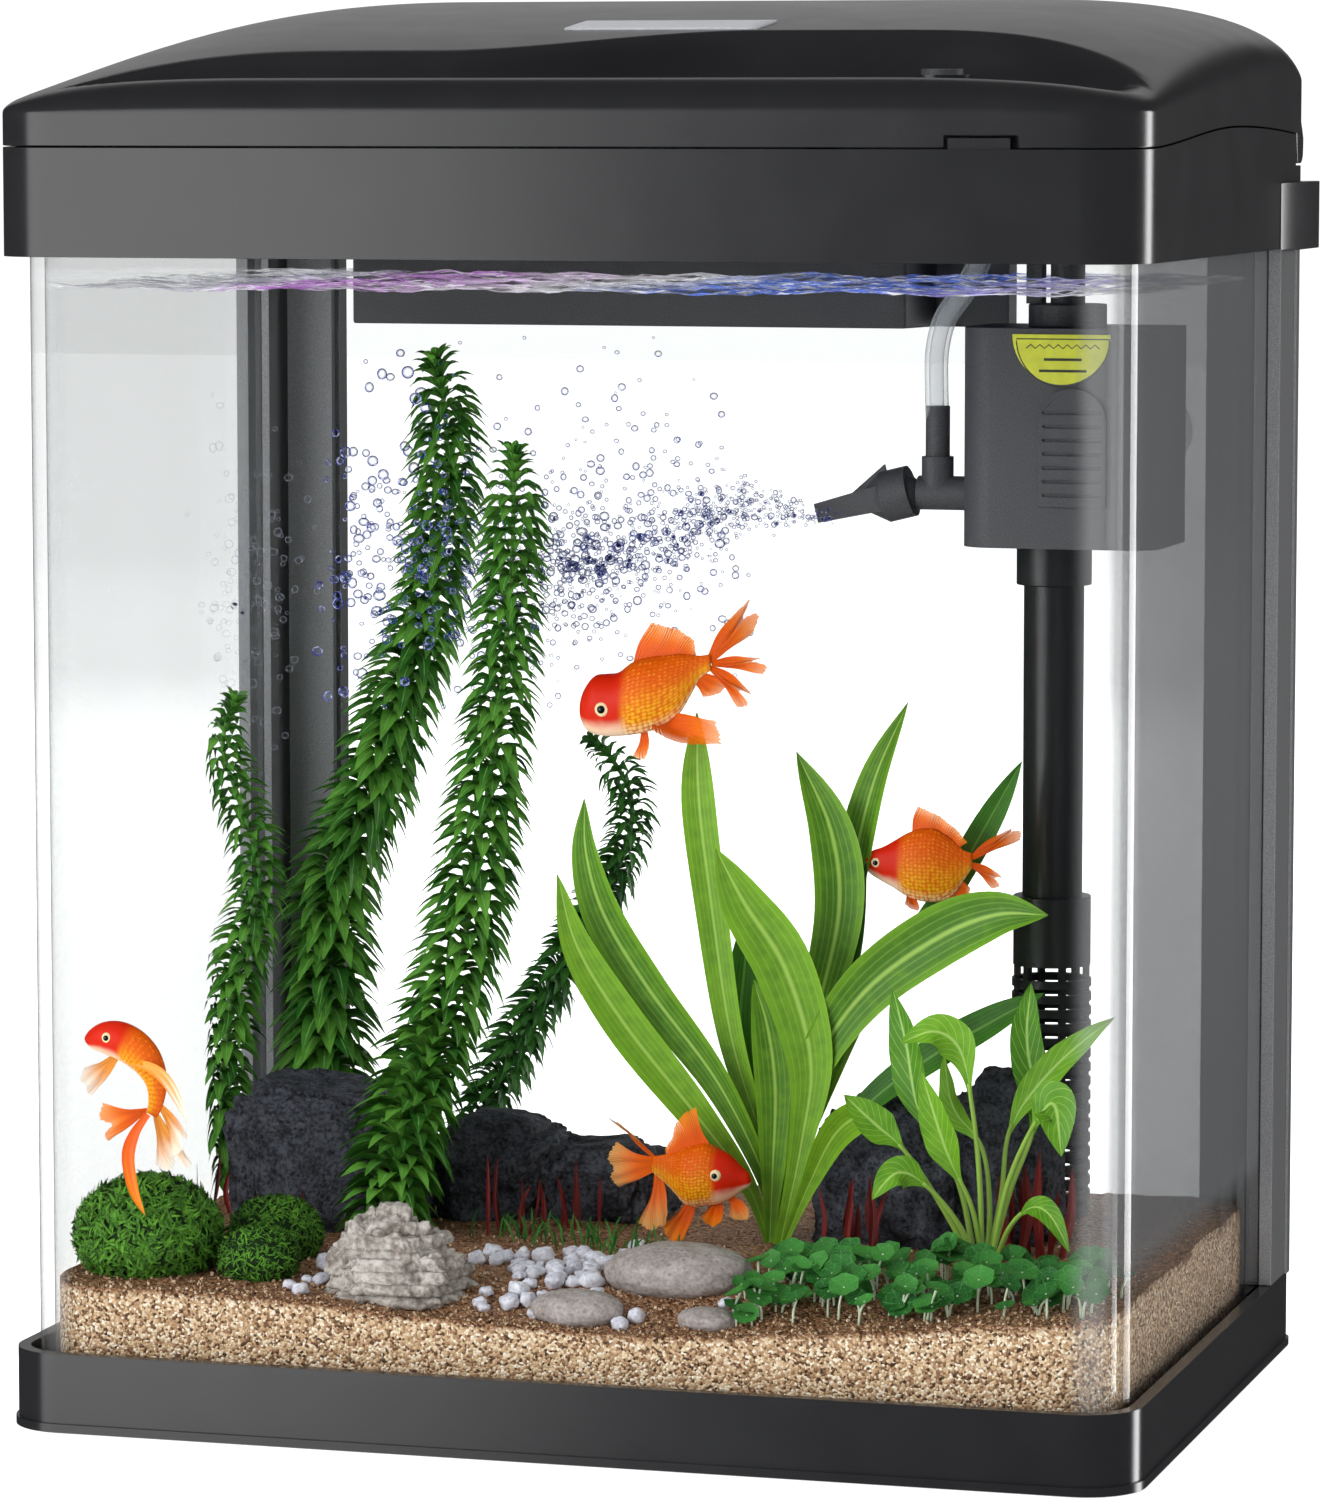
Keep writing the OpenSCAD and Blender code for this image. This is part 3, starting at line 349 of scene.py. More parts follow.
def plainFinish(name, color, roughness=0.5, metallic=0.0, grain=700, depth=0.00005, alpha=None):
    f = Finish(name, color, Metallic=metallic)
    speck = f.noise(grain, 3)
    f.drive("Base Color", f.blendColors(speck.step(0.25, 0.8), tuple(c * 0.82 for c in color), color))
    f.drive("Roughness", roughness - 0.08 + speck * 0.16)
    f.bump(speck, depth, 0.5)
    if alpha is not None:
        f.seeThrough((alpha + (f.facing() ** 2.5) * (0.95 - alpha)).clamped(0.0, 1.0))
    return f.material


def brushedMetal(name, color, roughness):
    f = Finish(name, color, Metallic=1.0)
    brushed = f.noise(220, 3, 0.6, f.stretched(1, 26, 26))
    f.drive("Roughness", roughness + brushed * 0.16)
    f.drive("Base Color", f.blendColors(brushed, tuple(c * 0.86 for c in color), color))
    return f.bump(brushed, 0.00002, 0.3).material


def cellFoam():
    f = Finish("filter_foam", (0.08, 0.14, 0.25), Roughness=0.9)
    pores = f.cells(420)
    # painted shade: darker inside the pores
    f.drive("Base Color", f.blendColors(pores.step(0.1, 0.5), (0.02, 0.035, 0.07), (0.1, 0.19, 0.34)))
    return f.bump(pores, 0.001, 1.0).material


def waterFinish():
    # painted reflection of the lamp: the ripples are painted violet at the left, white in the middle and blue
    # to lavender at the right
    f = Finish("water_surface", (0.8, 0.85, 1.0), IOR=1.33, Roughness=0.06, Emission_Strength=0.3)
    across = f.tag("X")
    tint = f.ramp(across, [(0.0, (0.75, 0.77, 0.8)), (0.13, (0.7, 0.68, 0.82)), (0.22, (0.6, 0.16, 0.78)),
                           (0.36, (0.86, 0.6, 0.95)), (0.48, (0.95, 0.93, 1.0)), (0.6, (0.12, 0.24, 0.9)),
                           (0.78, (0.1, 0.2, 0.9)), (0.88, (0.45, 0.38, 0.9)), (1.0, (0.75, 0.75, 0.85))])
    ripple = f.noise(1.0, 3, 0.6, f.stretched(75, 190, 1))
    glint = f.noise(1.0, 2, 0.5, f.stretched(160, 420, 1))
    # painted highlights: the glints turn the colour white
    color = f.blendColors(glint.step(0.5, 0.62), tint, (1.0, 1.0, 1.0))
    f.drive("Base Color", color)
    # the emission makes the painted colour glow, though the sheet is no lamp
    f.drive("Emission Color", color)
    f.bump(ripple, 0.002, 0.8)
    # the flatter it is looked along, the more of it shows
    flat = ((f.facing() ** 4.0) * 1.5).clamped(0.06, 1.0)
    return f.seeThrough((ripple.step(0.44, 0.56) * 0.85 + 0.12) * flat).material


def bubbleFinish(name, rim, strength):
    # painted reflection: a dark blue edge round a clear middle, with pale painted highlights in patches
    f = Finish(name, rim, Roughness=0.1, IOR=1.33)
    patch = f.noise(900, 2)
    f.drive("Base Color", f.blendColors(patch.step(0.45, 0.7), rim, (0.75, 0.8, 1.0)))
    solid = (f.facing() ** 1.6) * strength * (patch * 0.8 + 0.5)
    return f.seeThrough(solid.clamped(0.0, 1.0)).material


def fishSkin():
    # orange, redder on the head and back and pale yellow under, with rows of scales behind the gill
    f = Finish("goldfish_skin", (0.95, 0.3, 0.02), IOR=1.35, Specular_IOR_Level=0.3)
    along, height = f.tag("X"), f.tag("Y")
    read = f.node("ShaderNodeAttribute", {"attribute_name": "tag"}, out="Vector")
    grid = f.node("ShaderNodeMapping", None, {"Vector": read, "Scale": (26, 9.5, 0)})
    scale = f.node("ShaderNodeTexVoronoi", None, {"Vector": grid, "Scale": 1.0, "Randomness": 0.35})
    behind = along.step(0.3, 0.4)
    back = (height + f.noise(120, 2) * 0.5).step(-0.35, 0.75)
    side = f.blendColors(back, (0.74, 0.34, 0.006), (0.66, 0.1, 0.001))
    side = f.blendColors((height + along * 0.2).step(-0.5, -0.95), side, (0.95, 0.72, 0.4))
    cheek = (height + f.noise(160, 2) * 0.3).step(-0.75, -0.2)
    head = f.blendColors(cheek, (0.85, 0.6, 0.42), (0.55, 0.014, 0.001))
    base = f.blendColors(behind, head, side)
    line = scale.step(0.32, 0.62) * behind
    base = f.blendColors(line * 0.75, base, (0.6, 0.08, 0.001))
    shine = scale.step(0.3, 0.05) * behind
    f.drive("Base Color", f.blendColors(shine * 0.35, base, (1.0, 0.6, 0.08)))
    f.drive("Roughness", 0.28 + scale * 0.25)
    return f.bump(scale * -1.0 * behind, 0.0004, 0.6).material


def finFinish(name, root, tip, thick):
    # rays of firmer skin with thinner skin between them, clearer towards the edge
    f = Finish(name, root, Roughness=0.4, IOR=1.38)
    along, ray = f.tag("X"), f.tag("Y")
    line = (ray * 6.2832).maths("COSINE") * 0.5 + 0.5
    f.drive("Base Color", f.blendColors((along + line * -0.25).step(0.25, 1.0), root, tip))
    f.bump(line, 0.0002, 0.6)
    solid = (1.1 - along * 0.75) * thick * (line * 0.55 + 0.45)
    return f.seeThrough(solid.clamped(0.0, 1.0)).material


finishes = {
    "water": waterFinish(),
    "bubble": bubbleFinish("bubble_film", (0.008, 0.022, 0.3), 2.8),
    "bubbleFaint": bubbleFinish("bubble_haze_film", (0.45, 0.47, 0.55), 0.35),
    "skin": fishSkin(),
    "fin": finFinish("fin_orange", (0.72, 0.09, 0.001), (0.85, 0.25, 0.005), 3.4),
    "finPale": finFinish("fin_pale", (0.75, 0.11, 0.002), (0.72, 0.4, 0.12), 3.0),
    "finWhite": finFinish("fin_white", (0.82, 0.3, 0.04), (0.95, 0.88, 0.76), 3.0),
    "eyeRing": plainFinish("fish_eye_ring", (0.9, 0.72, 0.42), 0.15, grain=900),
    "pupil": plainFinish("fish_pupil", (0.006, 0.006, 0.008), 0.06),
    "gloss": glossyPlastic(),
    "grained": grainedPlastic("grained_black_plastic", (0.028, 0.029, 0.032), (0.075, 0.077, 0.082)),
    "riser": plainFinish("riser_black_plastic", (0.016, 0.0163, 0.018), 0.35),
    # the posts carry painted shade: light on the faces towards the front, dark on the faces turned away
    "postGrain": grainedPlastic("grained_post_plastic_painted_shade", (0.15, 0.152, 0.16), (0.25, 0.253, 0.264),
                                0.03, (0.035, 0.036, 0.038)),
    "pumpGrain": grainedPlastic("grained_pump_plastic", (0.045, 0.046, 0.052), (0.09, 0.092, 0.1)),
    "glass": clearGlass(),
    "gravel": gravelFinish(),
    "lava": stoneFinish("lava_stone", (0.012, 0.013, 0.018), (0.075, 0.08, 0.1), 700, 800, 0.85, 0.0012),
    "layered": stoneFinish("layered_limestone", (0.2, 0.165, 0.14), (0.56, 0.52, 0.48), 330, 520,
                           0.85, 0.0012),
    "flat": stoneFinish("river_stone", (0.26, 0.22, 0.205), (0.42, 0.375, 0.36), 600, 900, 0.7, 0.0004),
    "pebble": stoneFinish("white_pebble", (0.5, 0.5, 0.58), (0.76, 0.76, 0.83), 900, 500, 0.5, 0.0001),
    "moss": plantFinish("moss_blade", (0.02, 0.085, 0.006), (0.1, 0.3, 0.02), (0.2, 0.42, 0.06), gloss=0.6),
    # painted shade: the moss cores are a near black green that stands in for the shade deep among the blades
    "mossCore": plainFinish("moss_core", (0.008, 0.028, 0.004), 0.95, grain=900, depth=0.0008),
    "stem": plantFinish("stem_leaf", (0.02, 0.12, 0.012), (0.125, 0.36, 0.04), (0.26, 0.55, 0.15)),
    "stemDark": plantFinish("stem_leaf_shaded", (0.012, 0.075, 0.01), (0.06, 0.22, 0.03), (0.13, 0.34, 0.1)),
    "strap": plantFinish("strap_leaf", (0.05, 0.165, 0.004), (0.165, 0.36, 0.01), (0.34, 0.54, 0.09),
                         strands=4.0),
    "strapDark": plantFinish("strap_leaf_shaded", (0.015, 0.07, 0.006), (0.045, 0.18, 0.012),
                             (0.14, 0.34, 0.05), strands=4.0),
    "broad": plantFinish("broad_leaf", (0.06, 0.22, 0.006), (0.17, 0.4, 0.015), (0.42, 0.64, 0.16), 9.0),
    "cover": plantFinish("round_leaf", (0.012, 0.1, 0.016), (0.055, 0.25, 0.04), (0.12, 0.38, 0.1), 3.0),
    "stalk": plainFinish("pale_stalk", (0.62, 0.72, 0.52), 0.5),
    "red": plantFinish("red_blade", (0.07, 0.006, 0.006), (0.2, 0.014, 0.012), (0.28, 0.04, 0.03)),
    "bead": plainFinish("clear_silicone", (0.9, 0.93, 0.93), 0.25, alpha=0.25),
    "tube": plainFinish("clear_tube", (0.72, 0.76, 0.8), 0.12, alpha=0.22),
    "rubber": plainFinish("black_rubber", (0.012, 0.012, 0.013), 0.65),
    "label": plainFinish("yellow_label", (0.7, 0.74, 0.03), 0.4, grain=300),
    "ink": plainFinish("label_ink", (0.03, 0.035, 0.02), 0.5),
    "steel": brushedMetal("steel", (0.6, 0.6, 0.62), 0.25),
    "silver": plainFinish("silver_plate", (0.62, 0.63, 0.66), 0.35, 0.35),
    "foam": cellFoam(),
    "lampWhite": plainFinish("lamp_white", (0.8, 0.8, 0.79), 0.5),
    "lens": plainFinish("lamp_lens", (0.82, 0.88, 1.0), 0.2, alpha=0.35),
    "resin": plainFinish("motor_resin", (0.25, 0.11, 0.045), 0.6),
    "ceramic": plainFinish("ceramic", (0.84, 0.84, 0.82), 0.25),
    "magnet": plainFinish("magnet", (0.06, 0.06, 0.065), 0.4),
    "vane": plainFinish("impeller_white", (0.85, 0.85, 0.82), 0.4),
}
print("finishes made:", len(finishes))


# ---- Mesh tools ----
class Shape:
    # points, given in millimetres and kept in metres, faces and a tag vector per point
    def __init__(self):
        self.points = []
        self.faces = []
        self.tags = []

    def add(self, point, tag=(0, 0, 0)):
        self.points.append(Vector(point) * mm)
        self.tags.append(tag)
        return len(self.points) - 1

    def grid(self, rows, tags=None, loop=False):
        # rows of points joined by quads; with loop each row closes on itself
        ids = [[self.add(p, tags[i][j] if tags else (0, 0, 0)) for j, p in enumerate(row)]
               for i, row in enumerate(rows)]
        width = len(rows[0])
        for a, b in zip(ids, ids[1:]):
            for j in range(width if loop else width - 1):
                k = (j + 1) % width
                self.faces.append((a[j], a[k], b[k], b[j]))
        return ids

    def bridge(self, rings):
        # closed rings of points joined by quads
        for a, b in zip(rings, rings[1:]):
            for i in range(len(a)):
                k = (i + 1) % len(a)
                self.faces.append((a[k], a[i], b[i], b[k]))

    def cap(self, ring, flip=False):
        self.faces.append(tuple(reversed(ring)) if flip else tuple(ring))

    def tube(self, path, radii, sides, ends=True):
        # a round tube along a path that stays off the depth axis
        rows = []
        for i, p in enumerate(path):
            along = tangentAt(path, i)
            up = along.cross(Vector((0, 1, 0))).normalized()
            across = up.cross(along).normalized()
            rows.append([p + across * (radii[i] * math.cos(math.tau * k / sides))
                         + up * (radii[i] * math.sin(math.tau * k / sides)) for k in range(sides)])
        share = [[(i / max(1, len(rows) - 1), 0, 0)] * sides for i in range(len(rows))]
        ids = self.grid(rows, share, loop=True)
        if ends:
            self.cap(ids[0], True)
            self.cap(ids[-1])
        return ids

    def make(self, name, finish, body="tank", slot=None, replaces=(), smooth=True):
        mesh = bpy.data.meshes.new(name)
        mesh.from_pydata(self.points, [], self.faces)
        mesh.materials.append(finishes[finish])
        mesh.polygons.foreach_set("use_smooth", [smooth] * len(self.faces))
        tag = mesh.attributes.new("tag", "FLOAT_VECTOR", "POINT")
        tag.data.foreach_set("vector", [x for t in self.tags for x in t])
        mesh.update()
        obj = bpy.data.objects.new(name, mesh)
        scene.collection.objects.link(obj)
        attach(obj, body)
        if replaces:
            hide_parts(*replaces)


def ballPoints(steps):
    # corner directions and triangles of a unit icosphere
    golden = (1 + 5 ** 0.5) / 2
    points = [Vector(p).normalized() for p in (
        (-1, golden, 0), (1, golden, 0), (-1, -golden, 0), (1, -golden, 0),
        (0, -1, golden), (0, 1, golden), (0, -1, -golden), (0, 1, -golden),
        (golden, 0, -1), (golden, 0, 1), (-golden, 0, -1), (-golden, 0, 1))]
    faces = [(0, 11, 5), (0, 5, 1), (0, 1, 7), (0, 7, 10), (0, 10, 11), (1, 5, 9), (5, 11, 4), (11, 10, 2),
             (10, 7, 6), (7, 1, 8), (3, 9, 4), (3, 4, 2), (3, 2, 6), (3, 6, 8), (3, 8, 9), (4, 9, 5),
             (2, 4, 11), (6, 2, 10), (8, 6, 7), (9, 8, 1)]
    for _ in range(steps):
        middles, finer = {}, []
        for tri in faces:
            mids = []
            for a, b in ((tri[0], tri[1]), (tri[1], tri[2]), (tri[2], tri[0])):
                key = (min(a, b), max(a, b))
                if key not in middles:
                    middles[key] = len(points)
                    points.append((points[a] + points[b]).normalized())
                mids.append(middles[key])
            finer += [(tri[0], mids[0], mids[2]), (tri[1], mids[1], mids[0]),
                      (tri[2], mids[2], mids[1]), tuple(mids)]
        faces = finer
    return points, faces


balls = {steps: ballPoints(steps) for steps in (0, 1, 2, 3, 5)}


def addBlob(shape, steps, place):
    # place turns a unit direction into a point
    points, faces = balls[steps]
    start = len(shape.points)
    for n in points:
        shape.add(place(n))
    shape.faces += [tuple(start + i for i in face) for face in faces]


def rough(point, scale, octaves, seed):
    total, size = 0.0, 1.0
    p = Vector(point) * scale + Vector((seed * 7.3, seed * 3.1, -seed * 5.7))
    for _ in range(octaves):
        total += noise.noise(p) * size
        p = p * 2.1
        size *= 0.5
    return total


# ---- Camera, light and floor ----
view = {"place": (0.498, -1.699, 0.3635), "aim": (-0.0011, 0, 0.1822), "lens": 150.8, "sensor": 36}


def makeCamera():
    data = bpy.data.cameras.new("camera")
    data.lens = view["lens"]
    data.sensor_width = view["sensor"]
    data.clip_end = 50
    obj = bpy.data.objects.new("camera", data)
    scene.collection.objects.link(obj)
    obj.location = view["place"]
    toward = Vector(view["aim"]) - Vector(view["place"])
    obj.rotation_euler = toward.to_track_quat("-Z", "Y").to_euler()
    scene.camera = obj


studio = {
    "white": 1.08,  # what the camera sees behind the object
    "fill": 0.78,  # the even light from all round
    "gloss": 0.035,  # how bright the room is in a gloss
    # softboxes: name, heading in degrees, height of the middle, distance, width and height of the box,
    # watts, and whether a gloss shows it
    "boxes": [
        ("key", -38, 0.95, 1.9, 1.1, 1.1, 14, False),
        ("fillRight", 62, 0.5, 2.2, 0.8, 1.0, 8, False),
        ("frontPanel", -35, 0.25, 1.9, 1.25, 1.4, 19, True),
        ("cornerStrip", 124, 0.1, 1.6, 0.5, 1.5, 22, True),
        ("lidGlow", 198, 1.1, 3.0, 2.2, 1.4, 4, True),
        ("top", -10, 1.9, 0.5, 1.4, 1.2, 10, False),
        ("back", 188, 0.9, 1.9, 1.4, 1.0, 12, False),
    ],
    "floor": 14.0,
    "floorGlow": 0.52,
}


def makeStudio():
    world = bpy.data.worlds.new("studio")
    scene.world = world
    world.use_nodes = True
    tree = world.node_tree
    background = tree.nodes["Background"]
    path = tree.nodes.new("ShaderNodeLightPath")

    def seen(name):
        return Sock(tree, path.outputs[name])

    direct = seen("Is Camera Ray").maths("MAXIMUM", seen("Is Transmission Ray"))
    glossy = seen("Is Glossy Ray")
    strength = direct * (studio["white"] - studio["fill"]) + studio["fill"]
    strength = strength - glossy * (studio["fill"] - studio["gloss"])
    tree.links.new(strength.socket, background.inputs["Strength"])
    background.inputs["Color"].default_value = (1, 1, 1, 1)
    middle = Vector((0, 0, 0.2))
    for name, heading, height, away, width, tall, watts, seenInGloss in studio["boxes"]:
        light = bpy.data.lights.new(name, "AREA")
        light.shape = "RECTANGLE"
        light.size = width
        light.size_y = tall
        light.energy = watts
        lamp = bpy.data.objects.new(name, light)
        scene.collection.objects.link(lamp)
        turn = math.radians(heading)
        lamp.location = (away * math.sin(turn), -away * math.cos(turn), height)
        lamp.rotation_euler = (middle - lamp.location).to_track_quat("-Z", "Y").to_euler()
        lamp.visible_camera = False
        lamp.visible_glossy = seenInGloss
    half = studio["floor"] / 2
    mesh = bpy.data.meshes.new("floor")
    corners = [(-half, -half, 0), (half, -half, 0), (half, half, 0), (-half, half, 0)]
    mesh.from_pydata(corners, [], [(0, 1, 2, 3)])
    floor = bpy.data.objects.new("floor", mesh)
    scene.collection.objects.link(floor)
    f = Finish("pale_floor", (0.93, 0.93, 0.93), Roughness=0.9, Specular_IOR_Level=0.1,
               Emission_Color=(1, 1, 1, 1), Emission_Strength=studio["floorGlow"])
    f.drive("Base Color", f.blendColors(f.noise(3, 3), (0.92, 0.92, 0.92), (0.95, 0.95, 0.95)))
    mesh.materials.append(f.material)
    floor.location.z = cadBox[0].z - 0.0002
    floor.visible_glossy = False
    scene.view_settings.view_transform = "Standard"


makeCamera()
makeStudio()
print("camera and studio made")


# ---- Hood lid ----
lid = {
    "halfWidth": 160, "halfDepth": 112, "corner": 17, "rearCorner": 6, "wall": 2.4,
    "seam": 352.5, "rise": 5.3, "gap": 0.4, "crown": 394.5, "lip": 371.7, "recess": 369.5,
    "wallFront": 361, "wallRear": 371, "skirt": 347.2, "notch": 117.3, "notchHalf": 10, "notchRise": 3.2,
}
hw, hd = lid["halfWidth"], lid["halfDepth"]


def edgeInset(x, radius):
    over = abs(x) - hw + radius
    return radius - math.sqrt(max(0, radius ** 2 - over ** 2)) if over > 0 else 0


def frontAt(x):
    return -hd + edgeInset(x, lid["corner"])


def rearAt(x):
    return hd - edgeInset(x, lid["rearCorner"])


def stepAt(x):
    left = 27 * max(0, (-60 - x) / (hw - 80)) ** 3
    right = 50 * max(0, (x - 65) / (hw - 65)) ** 2.8
    return max(frontAt(x) + 8, -hd + 44 + 33 * ease((x + 45) / 80) - left - right)


def roundOff(t, power=2.3):
    return (1 - clamp(t) ** power) ** (1 / power)


def wallAt(y):
    return mix(lid["wallFront"], lid["wallRear"], clamp((y + hd) / 172))


def crownAt(y):
    return lid["crown"] - (lid["crown"] - lid["lip"] + 0.8) * ((hd - 12 - y) / (2 * hd - 24)) ** 2


def lidTop(x, y):
    front, rear = frontAt(x), rearAt(x)
    dip = (ease((y - front - 13) / 5) * ease((stepAt(x) - y) / 6)
           * ease((hw - 3 - x) / 14) * ease((x + hw - 14) / 10))
    full = mix(crownAt(y), lid["recess"], dip)
    edge = roundOff((abs(x) - hw + 75) / 75) * roundOff(1 - (y - front) / 15, 2.9)
    edge *= roundOff(1 - (rear - y) / 22)
    return mix(wallAt(y), full, edge)


def seamAt(y):
    if y < 14:
        return lid["seam"] + lid["rise"] * math.sin(math.pi / 2 * clamp((y + hd) / (hd + 14))) ** 2
    return lid["seam"] + lid["rise"] - 2.1 * ((y - 14) / (hd - 31.5)) ** 2


def rimAt(x, y):
    if y > hd - lid["rearCorner"] - 4.4:
        return lid["skirt"]
    lift = lid["notchRise"] if y < 0 and abs(x - lid["notch"]) <= lid["notchHalf"] + 0.01 else 0
    return seamAt(y) + lid["gap"] + lift


def lidRows(x):
    front, rear, step = frontAt(x), rearAt(x), stepAt(x)
    k = min(1, (step - front) / 30)
    rows = [front + d * k for d in (0, 0.12, 0.5, 1.1, 1.8, 2.8, 4, 5.5, 7.5, 10, 13, 14.2, 15.5, 16.8, 18)]
    rows += [mix(front + 18 * k, step - 6 * k, t) for t in (0.2, 0.4, 0.6, 0.8)]
    rows += [step - d * k for d in (6, 5, 4, 3, 2, 1, 0)]
    rows += [mix(step, rear - 22, i / 25) for i in range(1, 25)]
    return rows + [rear - d for d in (22, 19, 16, 13, 10, 7.5, 5.5, 4, 2.8, 1.8, 1.1, 0.5, 0.12, 0)]


def makeLid():
    shape = Shape()
    corner = lid["corner"]
    side = [hw - corner + corner * math.sin(math.radians(a)) for a in range(0, 91, 6)]
    nx0, nx1 = lid["notch"] - lid["notchHalf"], lid["notch"] + lid["notchHalf"]
    inner = spread(-hw + corner, nx0 - 0.15, 70) + spread(nx0, nx1, 9) + spread(nx1 + 0.15, hw - corner, 6)
    columns = [-x for x in reversed(side[1:])] + inner + side[1:]
    across, down = len(columns), len(lidRows(0))

    def surface(thickness, lower):
        k, m = (hw - thickness) / hw, (hd - thickness) / hd
        return [[(x * k, lidRows(x)[i] * m, lidTop(x, lidRows(x)[i]) - lower) for x in columns]
                for i in range(down)]

    wall = lid["wall"]
    top = shape.grid(surface(0, 0))
    under = shape.grid([list(reversed(row)) for row in surface(wall, wall)])
    under = [list(reversed(row)) for row in under]
    border = borderOf(across, down)

    def rim(thickness, back, share, tuck=0.0):
        ring = []
        for i, j in border:
            x = columns[j]
            y = lidRows(x)[i]
            z = mix(wallAt(y) - thickness, rimAt(x, y), share)
            keep = (hw - thickness - tuck) / hw
            if i == down - 1:
                placeY = max(y + back, hd - lid["rearCorner"] - wall + 0.2)
            else:
                placeY = y * (hd - thickness - tuck) / hd
            ring.append(shape.add((x * keep, placeY, z)))
        return ring

    # the wall steps down to a small rounded edge, crosses it and climbs inside
    rings = [[top[i][j] for i, j in border]]
    rings += [rim(0, back, share) for back, share in
              ((0, 0.25), (0, 0.5), (2, 0.6), (3.6, 0.7), (3.5, 0.8), (3.2, 0.9), (2, 0.96))]
    rings += [rim(0, 0.9, 0.985), rim(0.05, 0.8, 0.996, 0.15), rim(0.2, 0.6, 1.0, 0.3)]
    rings += [rim(wall, -20, 1.0), rim(wall, -20, 0.6), rim(wall, -4, 0.3)]
    rings += [[under[i][j] for i, j in border]]
    shape.bridge(rings)
    shape.make("lid_shell_smooth", "gloss", "lid", "hood_plastic", ["lid_shell"])


makeLid()
print("lid made")


# ---- CAD nodes: finishes, and small rounded edges where they show ----
nodeFinishes = {
    "gloss": ["base_tray", "hood_frame", "rear_housing", "lid_ears", "button_bezel", "lid_liner",
              "led_housing"],
    "riser": ["riser_tube", "strainer"],
    "grained": ["filter_box", "light_button", "air_inlet", "outlet_collar", "outlet_pipe", "filter_grid"],
    "postGrain": ["rear_post_left", "rear_post_right"],
    "pumpGrain": ["pump_case", "pump_back", "pump_grip", "tee_fitting", "swivel_ball", "nozzle"],
    "glass": ["front_glass", "rear_glass", "bottom_glass"],
    "bead": ["silicone_beads", "suction_cups"],
    "rubber": ["cable_grommet"],
    "steel": ["hinge_pins"],
    "foam": ["filter_sponge"],
    "silver": ["lid_plate"],
    "lampWhite": ["led_board"],
    "lens": ["led_lens"],
    "label": ["pump_label"],
    "resin": ["pump_stator"],
    "ceramic": ["rotor_shaft"],
    "magnet": ["rotor_magnet"],
    "vane": ["impeller"],
}
# how far an edge is rounded, for the nodes whose edges show
edgeRounding = {
    "base_tray": 0.5, "hood_frame": 0.35, "rear_housing": 0.4, "rear_post_left": 0.4, "rear_post_right": 0.4,
    "filter_box": 0.8, "pump_case": 0.9, "pump_grip": 0.3, "button_bezel": 0.3, "light_button": 0.4,
    "lid_plate": 0.15, "outlet_collar": 0.4, "lid_liner": 0.3, "nozzle": 0.25, "tee_fitting": 0.25,
    "riser_tube": 0.3, "strainer": 0.12,
}


def dressNodes():
    for finish, names in nodeFinishes.items():
        for name in names:
            obj = nodes[name]
            for slot in obj.material_slots:
                slot.material = finishes[finish]
            obj.data.polygons.foreach_set("use_smooth", [True] * len(obj.data.polygons))
            if "custom_normal" in obj.data.attributes:
                obj.data.attributes.remove(obj.data.attributes["custom_normal"])
            weld = obj.modifiers.new("weld", "WELD")
            weld.merge_threshold = 0.000005
            if name in edgeRounding:
                bevel = obj.modifiers.new("bevel", "BEVEL")
                bevel.width = edgeRounding[name] * mm
                bevel.segments = 2
                bevel.limit_method = "ANGLE"
                bevel.angle_limit = math.radians(28)
                bevel.harden_normals = True
                bevel.miter_outer = "MITER_ARC"
            else:
                split = obj.modifiers.new("edges", "EDGE_SPLIT")
                split.split_angle = math.radians(28)


dressNodes()
print("frame nodes dressed")


# ---- Gravel bed ----
bed = {
    "halfWidth": 150.2, "front": -102.4, "corner": 16, "postY": 81.4, "postX": 148.1, "rear": 97.4,
    "bottom": 13.2, "columns": 150, "rows": 110, "looseGrains": 2600, "level": 41.6,
    "frontLine": [39.5, 39, 39, 38, 36, 34.5, 34.5, 35, 37, 39.5, 42, 44.5],
}


def bedFront(x):
    over = abs(x) - bed["halfWidth"] + bed["corner"]
    inset = bed["corner"] - math.sqrt(max(0, bed["corner"] ** 2 - over ** 2)) if over > 0 else 0
    return bed["front"] + inset


def bedTop(x, y):
    # low in the middle of the front, and rising to an even level a little way in
    at = clamp((x + 148) / 296) * (len(bed["frontLine"]) - 1)
    k = min(len(bed["frontLine"]) - 2, int(at))
    z = mix(bed["frontLine"][k], bed["frontLine"][k + 1], ease(at - k))
    z = mix(z, bed["level"] + 0.02 * max(0, x) - 1.6 * clamp((-50 - x) / 40), ease((y - bed["front"]) / 36))
    z += 0.9 * noise.noise(Vector((x * 0.03, y * 0.04, 3.1)))
    return z + 0.5 * noise.noise(Vector((x * 0.13, y * 0.13, 9.0)))


